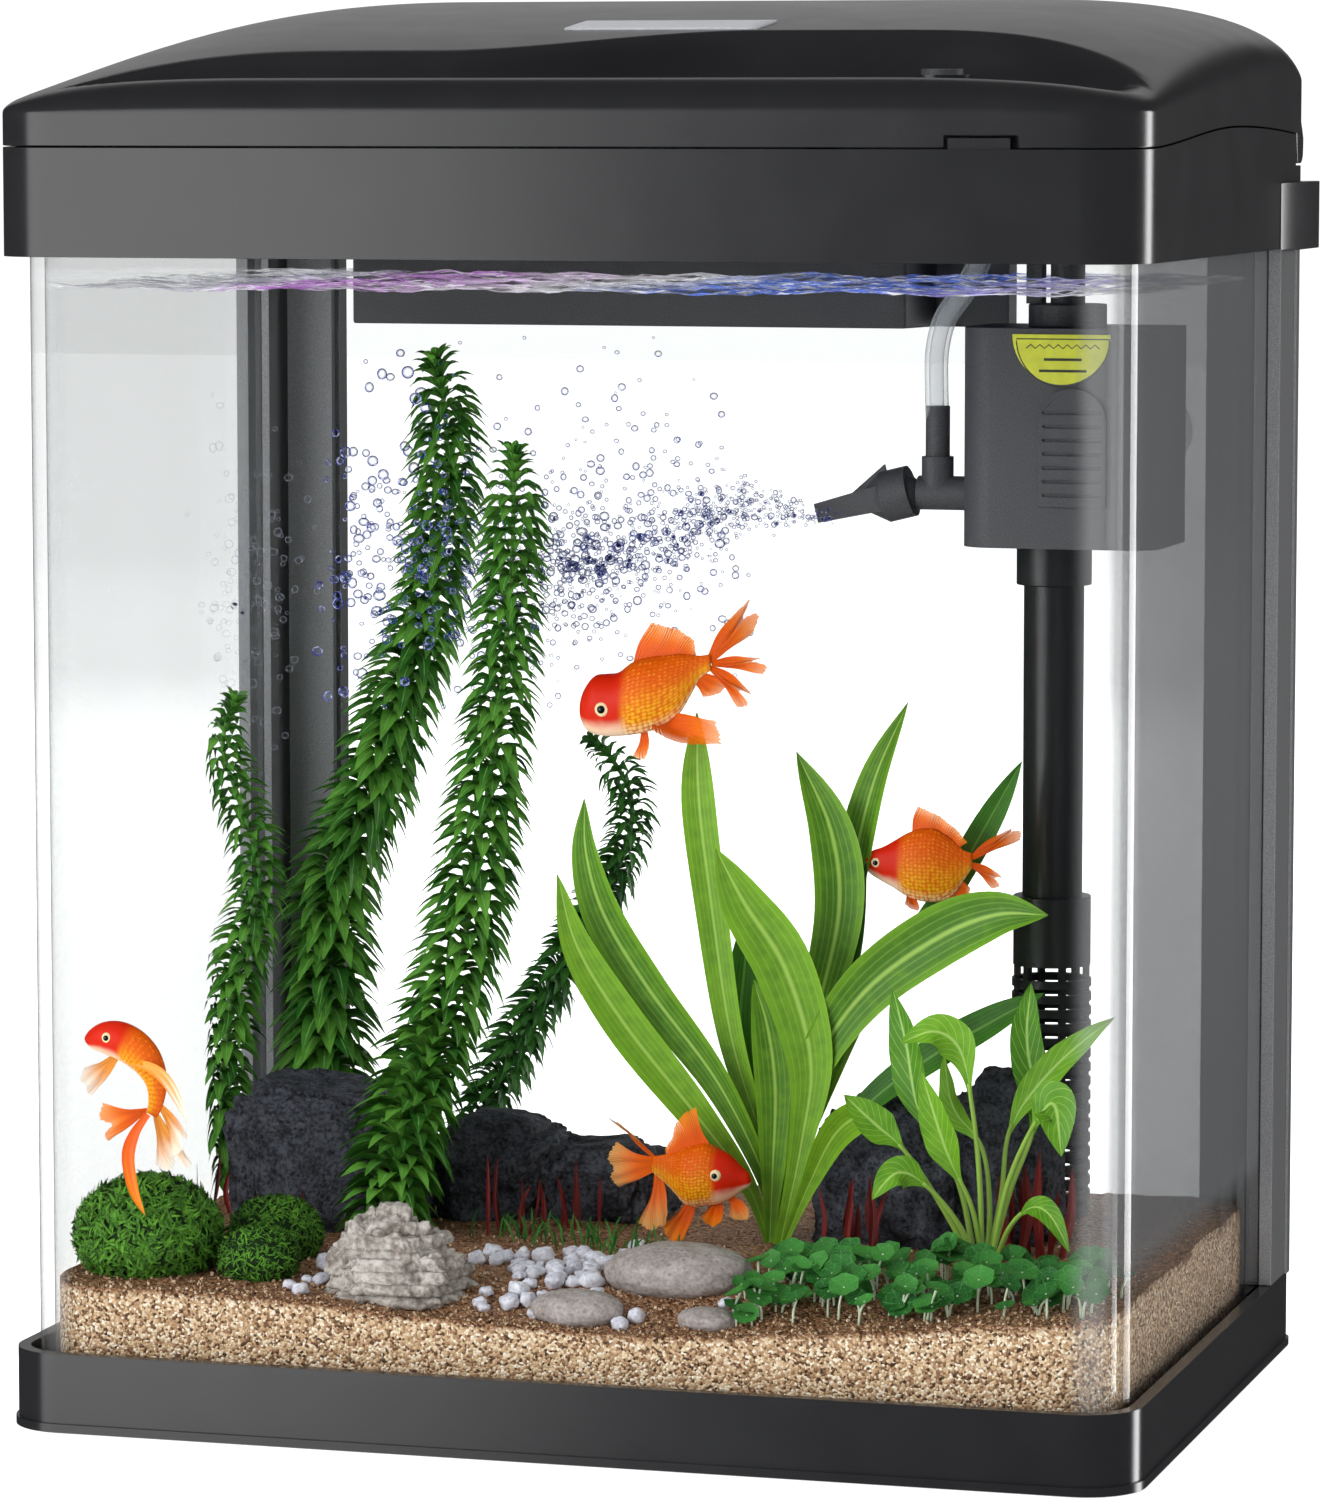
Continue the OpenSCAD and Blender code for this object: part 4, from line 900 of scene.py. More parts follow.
def makeGravel():
    chance = random.Random(11)
    shape = Shape()
    corner = bed["corner"]
    side = [bed["halfWidth"] - corner + corner * math.sin(math.radians(a)) for a in range(0, 91, 9)]
    columns = ([-x for x in reversed(side[1:])]
               + spread(-bed["halfWidth"] + corner, bed["halfWidth"] - corner, bed["columns"]) + side[1:])
    rows = []
    for i in range(bed["rows"]):
        share = i / (bed["rows"] - 1)
        row = []
        for x in columns:
            y = mix(bedFront(x), bed["rear"], share)
            if y > bed["postY"]:
                x = clamp(x, -bed["postX"], bed["postX"])
            grain = 0.42 * noise.noise(Vector((x * 1.1, y * 1.1, 0.0))) + 0.3 * chance.uniform(-0.5, 0.5)
            row.append((x, y, bedTop(x, y) + grain))
        rows.append(row)
    top = shape.grid(rows)
    border = borderOf(len(columns), len(rows))
    rings = [[top[i][j] for i, j in border]]
    for share in (0.15, 0.4, 0.7, 1.0):
        ring = []
        for i, j in border:
            x, y, z = rows[i][j]
            ring.append(shape.add((x, y, mix(z, bed["bottom"], share))))
        rings.append(ring)
    shape.bridge(rings)
    shape.cap(rings[-1], True)
    shape.make("gravel", "gravel", "tank", "gravel", ["gravel_bed"])
    loose = Shape()
    for _ in range(bed["looseGrains"]):
        x = chance.uniform(-147, 147)
        y = bedFront(x) + 0.8 + (190 if chance.random() < 0.4 else 70) * chance.random() ** 1.5
        if y > 96:
            continue
        size = chance.uniform(0.35, 0.85)
        middle = Vector((x, y, bedTop(x, y) + size * 0.5))
        turn = Euler([chance.uniform(0, 6) for _ in range(3)]).to_matrix()
        lengths = Vector((size, size * chance.uniform(0.6, 0.9), size * chance.uniform(0.5, 0.8)))
        addBlob(loose, 0, lambda n: middle + turn @ Vector(a * b for a, b in zip(n, lengths)))
    loose.make("gravel_loose_grains", "gravel", "tank", "gravel", smooth=False)


makeGravel()
print("gravel made")


def keepInside(shape):
    # bends back any tip that would touch the panes or the rear posts
    for p in shape.points:
        side = bed["postX"] - 0.6 if p.y > (bed["postY"] - 1) * mm else bed["halfWidth"] - 0.4
        p.x = clamp(p.x, -side * mm, side * mm)
        p.y = clamp(p.y, (bedFront(p.x / mm) + 0.6) * mm, (bed["rear"] - 0.5) * mm)
    return shape


# ---- Stones ----
rocks = {
    # lumps of each rock: middle in x and y, width, depth, height, roughness, blockiness and seed
    "lava_left_rock": [(-105, 12, 54, 42, 41, 0.2, 0.45, 1)],
    "lava_middle_rock": [(-60, 36, 42, 34, 28, 0.24, 0.6, 2), (-31, 38, 42, 32, 23, 0.22, 0.6, 3)],
    "lava_right_rock": [(66, 18, 52, 42, 40, 0.2, 0.75, 4), (92, 22, 36, 36, 46, 0.18, 0.75, 5)],
}
layeredStone = {
    "lumps": [(-53, -84, 37, 25, 15, 0.3, 0.75, 12), (-55, -83, 28, 20, 23, 0.36, 0.75, 13)],
    "fine": 1.5, "layers": [3.4, 3.8],
}
flatStones = {
    "lumps": [(23, -66, 42, 29, 13, 0.05, 0.95, 21), (1, -90, 26, 16, 9, 0.05, 0.95, 22),
              (38, -91, 17, 12, 6, 0.05, 0.95, 23)],
    "fine": 0.1, "lift": 0.6,
}
pebbles = {
    # middle of each heap, its spread in x and y, and how many
    "heaps": [((-10, -66), 13, 26, 30), ((-2, -50), 17, 20, 16), ((-24, -46), 12, 12, 10),
              ((18, -38), 9, 10, 5), ((-74, -66), 6, 16, 9), ((-80, -90), 4, 3, 2), ((40, -84), 6, 4, 4),
              ((18, -92), 5, 3, 2), ((-2, -22), 5, 4, 3), ((-16, -84), 11, 7, 10)],
    "small": 1.7, "large": 3.4,
    # ovals kept free for the large flat stone and the layered one: middle and half axes
    "free": [(23, -66, 24, 17), (-53, -84, 22, 16)],
}


def addRock(shape, x, y, wide, deep, tall, wild, block, seed, fine=1.0, layers=0.0, lift=0.0):
    floor = bedTop(x, y) - 2.5 + lift

    def place(n):
        squared = Vector([math.copysign(abs(c) ** block, c) for c in n])
        grow = 1 + wild * rough(n, 1.3, 2, seed) + wild * 0.45 * rough(n, 3.4, 3, seed + 5)
        crack = max(0, 0.22 - abs(rough(n, 2.6, 2, seed + 3)))
        grow += fine * (0.035 * rough(n, 11, 3, seed + 9) - 0.05 * crack)
        p = Vector((squared.x * wide / 2, squared.y * deep / 2, squared.z * tall * 0.62)) * grow
        z = p.z + tall * 0.42
        if layers:
            shelf = z / layers
            z = layers * (math.floor(shelf) + ease((shelf % 1) * 1.5))
            p *= 1 + 0.07 * math.sin(shelf * math.tau) * (1 - z / (tall * 1.3))
        return Vector((x + p.x, y + p.y, floor + max(z, -2)))

    addBlob(shape, 5, place)


def makeStones():
    for name, lumps in rocks.items():
        shape = Shape()
        for lump in lumps:
            addRock(shape, *lump)
        shape.make(name, "lava", "tank", "lava_stone", ["lava_rocks"])
    stone = Shape()
    for lump, layers in zip(layeredStone["lumps"], layeredStone["layers"]):
        addRock(stone, *lump, fine=layeredStone["fine"], layers=layers)
    stone.make("layered_stone_block", "layered", "tank", "pale_stone", ["layered_stone"])
    flat = Shape()
    for lump in flatStones["lumps"]:
        addRock(flat, *lump, fine=flatStones["fine"], lift=flatStones["lift"])
    flat.make("flat_river_stones", "flat", "tank", "pale_stone", ["flat_stones"])


def makePebbles():
    chance = random.Random(5)
    shape = Shape()
    made = []
    for (hx, hy), dx, dy, count in pebbles["heaps"]:
        for _ in range(count * 3):
            if count <= 0:
                break
            x, y = hx + chance.gauss(0, dx * 0.55), hy + chance.gauss(0, dy * 0.5)
            size = chance.uniform(pebbles["small"], pebbles["large"])
            clear = all((x - a) ** 2 + (y - b) ** 2 > (size + c) ** 2 * 0.72 for a, b, c in made)
            free = all(((x - a) / c) ** 2 + ((y - b) / d) ** 2 > 1 for a, b, c, d in pebbles["free"])
            if not clear or not free or y < bedFront(x) + size + 1:
                continue
            count -= 1
            made.append((x, y, size))
            seed = len(made)
            lengths = Vector((size, size * chance.uniform(0.7, 0.95), size * chance.uniform(0.6, 0.85)))
            tip, roll = chance.uniform(-0.4, 0.4), chance.uniform(-0.4, 0.4)
            turn = Euler((tip, roll, chance.uniform(0, 6))).to_matrix()
            middle = Vector((x, y, bedTop(x, y) + size * 0.5))

            def place(n):
                grow = 1 + 0.3 * noise.noise(n * 1.5 + Vector((seed, 0, 0)))
                grow += 0.1 * noise.noise(n * 3.3 + Vector((0, seed, 0)))
                block = Vector([math.copysign(abs(c) ** 0.8, c) for c in n])
                return middle + turn @ Vector(a * b * grow for a, b in zip(block, lengths))

            addBlob(shape, 2, place)
    shape.make("white_pebbles", "pebble", "tank", "white_pebble", ["pebbles"])


makeStones()
makePebbles()
print("stones made")


# ---- Moss balls ----
moss = {
    # middle in x and y, radius and number of blades
    "balls": [(-130, -73, 21.5, 5200), (-102, -46, 14, 2600), (-96, -76, 12, 1900)],
    "squash": 0.78,
}


def makeMoss():
    chance = random.Random(8)
    core = Shape()
    blades = Shape()
    for index, (x, y, radius, count) in enumerate(moss["balls"]):
        middle = Vector((x, y, bedTop(x, y) + radius * 0.46))
        squash = Vector((1, 1, moss["squash"]))
        # the cores carry the painted shade under the blades
        addBlob(core, 3, lambda n: middle + n * squash * radius * (0.94 + 0.05 * rough(n, 3, 2, index)))
        for _ in range(count):
            n = Vector([chance.gauss(0, 1) for _ in range(3)]).normalized()
            if n.z < -0.86:
                continue
            skew = n.cross(Vector([chance.gauss(0, 1) for _ in range(3)])).normalized()
            across = n.cross(skew)
            size = radius * chance.uniform(0.07, 0.13)
            base = middle + n * squash * radius * 0.93
            tip = base + (skew * 0.95 + n * chance.uniform(0.1, 0.55)).normalized() * size * 1.6
            wide = across * size * 0.17
            luck = chance.random()
            half, lift = mix(base, tip, 0.5), n * size * 0.16
            rows = [[base - wide, base + wide], [half - wide + lift, half + wide + lift],
                    [tip - wide * 0.2, tip + wide * 0.2]]
            blades.grid(rows, [[(t, -0.9, luck), (t, 0.9, luck)] for t in (0, 0.5, 1)])
    core.make("moss_ball_cores", "mossCore", "tank", "moss", ["moss_balls"])
    keepInside(blades).make("moss_ball_blades", "moss", "tank", "moss")


makeMoss()
print("moss made")


# ---- Plants ----
leafShape = {"steps": 6, "fold": 0.3, "slender": 1.15, "arch": 0.12}


def addLeaf(shape, base, out, up, length, width, droop, luck, twist):
    # a pointed leaf that leaves its base along out and bends towards -up by droop
    out, up = out.normalized(), up.normalized()
    steps, fold, spans = leafShape["steps"], leafShape["fold"], (-1, -0.5, 0, 0.5, 1)
    across = out.cross(up).normalized()
    rows, tags = [], []
    for i in range(steps + 1):
        t = i / steps
        middle = base + out * (length * t) - up * (length * droop * t * t)
        middle += up * (length * leafShape["arch"] * math.sin(math.pi * t))
        half = width / 2 * math.sin(math.pi * (0.06 + 0.94 * t) ** leafShape["slender"]) + 0.04
        turn = Matrix.Rotation(twist * t, 3, out)
        spreadOut, lift = turn @ across, turn @ up
        rows.append([middle + spreadOut * (half * s) + lift * (half * fold * abs(s)) for s in spans])
        tags.append([(t, s, luck) for s in spans])
    shape.grid(rows, tags)


stems = [
    # name, finish, route, leaf length at foot and tip, whorl spacing, leaves a whorl, seed
    ("stem_plant_a", "stem",
     [(-152, 42, 41), (-150, 38, 60), (-148, 36, 78), (-145, 35, 100), (-139, 35, 122), (-136, 35, 140),
      (-142, 35, 160), (-147, 35, 176), (-143, 35, 190)], 12, 9, 3.0, 9, 31),
    ("stem_plant_b", "stem",
     [(-125, 60, 41), (-123, 57, 66), (-122, 55, 92), (-121, 55, 112), (-119, 55, 136), (-108, 55, 160),
      (-99, 55, 189), (-89, 55, 219), (-84, 55, 248), (-84, 55, 272), (-87, 55, 290)], 17.5, 13, 3.1, 10, 32),
    ("stem_plant_c", "stem",
     [(-78, -24, 41), (-77, -18, 58), (-74, -8, 78), (-70, 4, 100), (-63, 8, 126), (-60, 12, 152),
      (-56, 14, 180), (-53, 16, 209), (-51, 16, 237), (-51, 18, 264)], 16.5, 11.5, 3.1, 10, 33),
    ("stem_plant_d", "stemDark",
     [(-90, 82, 41), (-84, 82, 58), (-76, 82, 74), (-67, 80, 90), (-55, 78, 110), (-43, 76, 129),
      (-35, 75, 144), (-33, 75, 159), (-39, 75, 171), (-46, 75, 177)], 10.5, 8.5, 2.8, 9, 34),
]


def makeStem(name, finish, route, footLeaf, tipLeaf, gap, whorl, seed):
    chance = random.Random(seed)
    path = curveThrough(route, 8)
    lengths = [0.0]
    for a, b in zip(path, path[1:]):
        lengths.append(lengths[-1] + (b - a).length)
    total = lengths[-1]
    shape = Shape()
    shape.tube(path, [mix(1.1, 0.6, i / len(path)) for i in range(len(path))], 6)
    distance, turn, k = 5.0, 0.0, 0
    while distance < total:
        while lengths[k + 1] < distance:
            k += 1
        share = distance / total
        base = path[k].lerp(path[k + 1], (distance - lengths[k]) / (lengths[k + 1] - lengths[k]))
        along = (path[k + 1] - path[k]).normalized()
        sideways = along.cross(Vector((0.1, 1, 0.05))).normalized()
        other = along.cross(sideways)
        close = clamp((total - distance) / 14)
        size = mix(footLeaf, tipLeaf, ease((share - 0.15) / 0.85)) * mix(0.55, 1, close)
        for i in range(whorl):
            angle = turn + math.tau * i / whorl + chance.uniform(-0.2, 0.2)
            radial = sideways * math.cos(angle) + other * math.sin(angle)
            rise = mix(1.3, 0.3, close) + chance.uniform(-0.14, 0.14)
            out = (radial + along * rise).normalized()
            bend = mix(0.1, 0.5, close) + chance.uniform(-0.12, 0.12)
            addLeaf(shape, base + radial * 0.6, out, along, size * chance.uniform(0.85, 1.1),
                    size * 0.33, bend, chance.random(), chance.uniform(-0.7, 0.7))
        turn += 0.9
        distance += gap * mix(0.6, 1, close)
    keepInside(shape).make(name + "_leafy", finish, "tank", "leaf_green", [name])


for entry in stems:
    makeStem(*entry)
print("stems made")


def addStrap(shape, route, width, luck, shapeOf, facing, fold=0.16, steps=7, ripple=0.0):
    # a long leaf along a route; facing is the direction its flat side looks in
    path = curveThrough(route, steps)
    count = len(path)
    spans = (-1, -0.66, -0.33, -0.08, 0.08, 0.33, 0.66, 1)
    rows, tags = [], []
    for i, p in enumerate(path):
        t = i / (count - 1)
        along = tangentAt(path, i)
        across = along.cross(facing).normalized()
        face = across.cross(along).normalized()
        half = width / 2 * shapeOf(t) + 0.06
        row = []
        for s in spans:
            wave = ripple * math.sin(t * 21 + luck * 9) * abs(s) ** 2
            groove = -0.28 * math.exp(-(s * 9) ** 2) + fold * half * (s * s) + wave
            row.append(p + across * (half * s) + face * groove)
        rows.append(row)
        tags.append([(t, s, luck) for s in spans])
    shape.grid(rows, tags)


def bladeShape(low, peak):
    # narrow at the foot, widest at peak and pointed at the tip
    def shapeOf(t):
        foot = mix(low, 1, ease(t / peak)) if t < peak else 1.0
        tip = (1 - ((t - peak) / (1 - peak)) ** 2.2) if t > peak else 1.0
        return max(0.0, foot * tip)
    return shapeOf


# routes give x and z from the foot to the tip
swordLeaves = [
    # finish, depth of the foot, lean of the tip, route, width, share of it at the foot, place of the widest
    ("strap", 10, -7, [(31, 40), (28, 59), (14, 87), (-6, 113), (-19, 134), (-24, 152), (-24, 168)],
     12.3, 0.19, 0.56),
    ("strap", 6, -12, [(30, 40), (23, 59), (8, 79), (-12, 104), (-25, 126), (-30, 147)], 11.9, 0.19, 0.56),
    ("strap", 14, 6, [(31, 40), (32, 58), (24, 76), (16, 101), (10, 138), (6, 167), (5, 192)], 10, 0.23, 0.8),
    ("strap", 0, -10, [(33, 40), (40, 72), (43, 96), (36, 122), (25, 140), (17, 156)], 16.6, 0.23, 0.61),
    ("strap", 16, 10, [(31, 40), (35, 75), (41, 106), (47, 136), (44, 159), (33, 181)], 14.2, 0.19, 0.68),
    ("strap", 22, 18, [(31, 40), (36, 74), (43, 108), (48, 142), (54, 172), (63, 195)], 11.4, 0.22, 0.61),
    ("strap", 4, -16, [(34, 40), (38, 68), (44, 94), (59, 116), (80, 132), (98, 140), (114, 141)],
     17.1, 0.19, 0.66),
    ("strapDark", 30, 24, [(30, 40), (38, 79), (55, 113), (72, 136), (84, 158), (94, 178)], 8.1, 0.17, 0.76),
    ("strapDark", 26, 12, [(28, 40), (24, 70), (17, 98), (17, 118), (18, 138)], 10.4, 0.22, 0.56),
    ("strap", -4, -20, [(34, 40), (43, 60), (52, 76), (62, 83), (72, 83)], 9.5, 0.19, 0.61),
    ("strapDark", 8, 4, [(33, 40), (45, 66), (58, 83), (76, 97), (94, 108), (108, 116)], 10, 0.17, 0.66),
    ("strap", 12, -6, [(33, 40), (37, 66), (46, 92), (56, 112), (64, 122)], 8.5, 0.19, 0.56),
    ("strapDark", 18, 8, [(30, 40), (33, 70), (38, 98), (48, 122), (54, 150)], 11.4, 0.22, 0.56),
    ("strap", 2, -3, [(30, 40), (31, 62), (32, 86), (30, 104), (26, 118)], 11.4, 0.25, 0.56),
]
broadLeaves = [
    # depth of the tip, route, leaf width, share of the route that is bare stalk
    (-10, [(97, 40), (90, 66), (78, 84), (73, 104), (67, 124)], 10.7, 0.42),
    (-34, [(98, 40), (98, 67), (96, 90), (93, 105), (86, 110), (76, 106)], 10.7, 0.42),
    (0, [(99, 40), (104, 63), (110, 84), (106, 104), (106, 120)], 9.8, 0.4),
    (-6, [(99, 40), (102, 62), (104, 82), (117, 100), (135, 115)], 9, 0.45),
    (-40, [(100, 40), (106, 66), (114, 84), (121, 92), (124, 78)], 12.3, 0.5),
    (-34, [(99, 40), (96, 60), (90, 74), (86, 87), (82, 102)], 9.8, 0.35),
    (-44, [(98, 40), (93, 56), (84, 68), (77, 71), (70, 62)], 9, 0.45),
    (-38, [(98, 40), (88, 60), (78, 76), (70, 84), (62, 92)], 9.8, 0.5),
    (-46, [(101, 40), (107, 55), (115, 63), (122, 61), (129, 50)], 6.6, 0.35),
    (4, [(99, 40), (98, 58), (94, 74), (84, 84), (80, 98)], 6.6, 0.5),
]


groundCover = {"leaves": 170, "x": (44, 146), "y": (-93, -46), "radius": (2.6, 4.6)}
redGrass = {
    # middle, number, height and width of the blades in each clump
    "clumps": [((-44, -2), 9, 22, 1.0), ((108, -10), 9, 30, 2.6), ((60, -12), 10, 22, 1.8),
               ((-146, 20), 3, 22, 1.5), ((-112, -16), 3, 14, 1.2), ((-30, 12), 5, 20, 1.4)],
    # middle and number of the fine green hairs between them
    "hairs": [(-22, -14, 26), (2, -34, 20), (-40, -8, 14)],
}


def makeSword():
    chance = random.Random(41)
    shapes = {"strap": Shape(), "strapDark": Shape()}
    for finish, y, lean, route, width, low, peak in swordLeaves:
        count = len(route) - 1
        points = [(x, y * 0.5 + lean * (i / count) ** 1.4, z) for i, (x, z) in enumerate(route)]
        facing = Vector((chance.uniform(-0.35, 0.35), -1, chance.uniform(0.05, 0.3)))
        addStrap(shapes[finish], points, width, chance.random(), bladeShape(low, peak), facing, 0.22)
    shapes["strap"].make("sword_plant_leaves", "strap", "tank", "leaf_green", ["sword_plant"])
    shapes["strapDark"].make("sword_plant_shaded_leaves", "strapDark", "tank", "leaf_green")


def makeBroadleaf():
    chance = random.Random(43)
    leaves, stalks = Shape(), Shape()
    for tipY, route, width, bare in broadLeaves:
        count = len(route) - 1
        points = [Vector((x, mix(-24, tipY, (i / count) ** 0.8), z)) for i, (x, z) in enumerate(route)]
        path = curveThrough(points, 10)
        cut = int(len(path) * bare)
        stalks.tube(path[:cut + 3], [mix(0.95, 0.6, i / (cut + 3)) for i in range(cut + 3)], 7)
        blade = path[cut:][::4]
        facing = Vector((chance.uniform(-0.5, 0.5), -1, chance.uniform(0.2, 0.8)))
        addStrap(leaves, blade, width, chance.random(), bladeShape(0.1, 0.42), facing, 0.24, 5, 0.25)
    keepInside(leaves).make("broadleaf_plant_leaves", "broad", "tank", "leaf_green", ["broadleaf_plant"])
    stalks.make("broadleaf_plant_stalks", "strap", "tank", "leaf_green")


def makeGroundCover():
    # round scalloped leaves, each cupped on a pale stalk
    chance = random.Random(47)
    leaves, stalks = Shape(), Shape()
    for _ in range(groundCover["leaves"]):
        x, y = chance.uniform(*groundCover["x"]), chance.uniform(*groundCover["y"])
        if y < bedFront(x) + 6 or (x - 23) ** 2 / 600 + (y + 66) ** 2 / 260 < 1:
            continue
        foot = Vector((x, y, bedTop(x, y) - 0.5))
        tall = chance.uniform(3, 10)
        lean = Vector((chance.uniform(-2.5, 2.5), chance.uniform(-2.5, 1.5), tall))
        head = foot + lean
        path = curveThrough([foot, foot + Vector((lean.x * 0.2, lean.y * 0.2, tall * 0.55)), head], 3)
        stalks.tube(path, [0.38] * len(path), 5)
        radius, luck = chance.uniform(*groundCover["radius"]), chance.random()
        nod, roll = chance.uniform(0.1, 0.85), chance.uniform(-0.4, 0.4)
        tilt = Euler((nod, roll, chance.uniform(-0.6, 0.6))).to_matrix()
        rows, tags = [], []
        for ring in (0.05, 0.4, 0.75, 1.0):
            row, tagRow = [], []
            for k in range(20):
                a = math.tau * k / 20
                r = radius * ring * (1 + 0.07 * ring * math.cos(a * 6 + luck * 5))
                cup = radius * 0.24 * ring ** 2
                row.append(head + tilt @ Vector((r * math.cos(a), r * math.sin(a), cup)))
                tagRow.append((ring, math.sin(a * 3 + luck * 6), luck))
            rows.append(row)
            tags.append(tagRow)
        ids = leaves.grid(rows, tags, loop=True)
        leaves.cap(ids[0], True)
    keepInside(leaves).make("ground_cover_leaves", "cover", "tank", "leaf_green", ["ground_cover"])
    stalks.make("ground_cover_stalks", "stalk", "tank", "leaf_green")


def makeRedGrass():
    chance = random.Random(53)
    blades, grass = Shape(), Shape()
    for (x, y), count, tall, wide in redGrass["clumps"]:
        for _ in range(count):
            foot = Vector((x + chance.gauss(0, 5), y + chance.gauss(0, 3), 0))
            foot.z = bedTop(foot.x, foot.y) - 0.5
            lean = Vector((chance.uniform(-3, 3), chance.uniform(-2, 2), tall * chance.uniform(0.6, 1.1)))
            bow = Vector((chance.uniform(-2, 2), 0, 0))
            route = [foot, foot + lean * 0.5 + bow, foot + lean]
            width, luck = wide * chance.uniform(0.7, 1.2), chance.random()
            facing = Vector((chance.uniform(-0.6, 0.6), -1, 0))
            addStrap(blades, route, width, luck, bladeShape(0.6, 0.4), facing, 0.3, 4)
    for x, y, count in redGrass["hairs"]:
        for _ in range(count):
            foot = Vector((x + chance.gauss(0, 7), y + chance.gauss(0, 4), 0))
            foot.z = bedTop(foot.x, foot.y) - 0.3
            lean = Vector((chance.uniform(-5, 5), chance.uniform(-3, 3), chance.uniform(5, 10)))
            route = [foot, foot + lean * 0.5 + Vector((0, 0, 1.5)), foot + lean]
            addStrap(grass, route, 0.5, chance.random(), bladeShape(0.7, 0.4), Vector((0, -1, 0)), 0.3, 2)
    keepInside(blades).make("red_grass_blades", "red", "tank", "leaf_red", ["red_grass"])
    grass.make("fine_grass", "stemDark", "tank", "leaf_green")


makeSword()
makeBroadleaf()
makeGroundCover()
makeRedGrass()
print("plants made")


# ---- Nameplate ----
plate = {"middle": 6.5, "width": 55, "front": -29.5, "rear": -13.5, "skew": 2, "thick": 0.5}


def makePlate():
    shape = Shape()
    rows = []
    for y in spread(plate["front"], plate["rear"], 9):
        slant = plate["skew"] * (y - plate["front"]) / 20
        rows.append([(plate["middle"] + slant + x, y, lidTop(x + plate["middle"], y) + plate["thick"])
                     for x in spread(-plate["width"] / 2, plate["width"] / 2, 15)])
    top = shape.grid(rows)
    border = top[0] + [row[-1] for row in top[1:]] + top[-1][-2::-1] + [row[0] for row in top[-2:0:-1]]
    lower = [shape.add(shape.points[i] / mm - Vector((0, 0, plate["thick"] + 0.3))) for i in border]
    shape.bridge([border, lower])
    shape.make("nameplate", "silver", "lid", "silver_plate", ["lid_plate"])


# ---- Air tube and pump label ----
airTube = {
    "route": [(64.65, 56, 271), (64.2, 56, 284), (64.4, 56, 294), (66.7, 56, 303), (72.2, 56, 311),
              (76.5, 55.6, 319), (78.6, 55, 329), (79.1, 54.6, 340)],
    "outer": 3.4, "inner": 2.1, "sides": 28,
}
label = {"x": 109.7, "y": 18.55, "top": 299.4, "radius": 14.2, "line": 0.35, "waves": 8}


def makeTube():
    shape = Shape()
    path = curveThrough(airTube["route"], 6)
    outer = shape.tube(path, [airTube["outer"]] * len(path), airTube["sides"], ends=False)
    inner = shape.tube(path, [airTube["inner"]] * len(path), airTube["sides"], ends=False)
    for a, b in ((outer[0], inner[0]), (outer[-1], inner[-1])):
        for i in range(airTube["sides"]):
            k = (i + 1) % airTube["sides"]
            shape.faces.append((a[i], a[k], b[k], b[i]))
    shape.make("air_tube_clear", "tube", "tank", "clear_tube", ["air_tube"])


def makeLabel():
    # an outline, a zigzag water line and two plain bars, printed on the yellow half disc
    shape = Shape()
    r, line, y, top = label["radius"], label["line"], label["y"], label["top"]

    def strip(points, width):
        rows = [[], []]
        for i, (x, z) in enumerate(points):
            ax, az = points[max(0, i - 1)]
            bx, bz = points[min(len(points) - 1, i + 1)]
            size = math.hypot(bx - ax, bz - az)
            nx, nz = -(bz - az) / size * width / 2, (bx - ax) / size * width / 2
            rows[0].append((label["x"] + x - nx, y, top + z - nz))
            rows[1].append((label["x"] + x + nx, y, top + z + nz))
        shape.grid(rows)

    arc = [((r - 0.9) * math.cos(a), -(r - 0.9) * math.sin(a) - 0.5) for a in spread(0, math.pi, 40)]
    strip(arc + [arc[0]], line)
    strip([(-10.5 + 21 * i / (label["waves"] * 2), -2.6 + (0.55 if i % 2 else -0.55))
           for i in range(label["waves"] * 2 + 1)], line)
    for half, drop in ((5.4, 6.2), (6.8, 9.4)):
        strip([(-half, -drop), (half, -drop)], 0.75)
    shape.make("label_print", "ink", "tank")


# ---- Water surface and bubbles ----
water = {
    "level": 314.6, "halfWidth": 150.3, "front": -102.3, "rear": 97, "wave": 1.5, "columns": 210, "rows": 90,
    "corner": 16, "postY": 81, "postX": 147.9,
}
stream = {
    # middle of the cloud at shares of its run from the nozzle, its spread, and how many bubbles
    "route": [(33, 40, 246), (10, 40, 249), (-8, 40, 241), (-32, 40, 232), (-52, 40, 226), (-82, 42, 233),
              (-112, 44, 224)],
    "spread": [1.5, 9, 13, 18, 23, 30, 38], "dense": 1500, "sparse": 460, "faint": 170,
}


def makeWater():
    shape = Shape()
    rows, tags = [], []
    for y in spread(water["front"], water["rear"], water["rows"]):
        inset = max(0.0, bedFront(0) + water["corner"] - y)
        cut = water["corner"] - math.sqrt(max(0.0, water["corner"] ** 2 - inset ** 2))
        half = water["halfWidth"] - cut if y < water["postY"] else water["postX"]
        row = []
        for x in spread(-half, half, water["columns"]):
            p = Vector((x * 0.055, y * 0.075, 1.7))
            wave = noise.noise(p) + 0.55 * noise.noise(p * 2.3) + 0.3 * noise.noise(p * 4.7)
            row.append((x, y, water["level"] + water["wave"] * wave))
        rows.append(row)
        tags.append([((x - row[0][0]) / (row[-1][0] - row[0][0]), y, 0) for x, _, _ in row])
    shape.grid(rows, tags)
    shape.make("water_surface", "water", "tank")


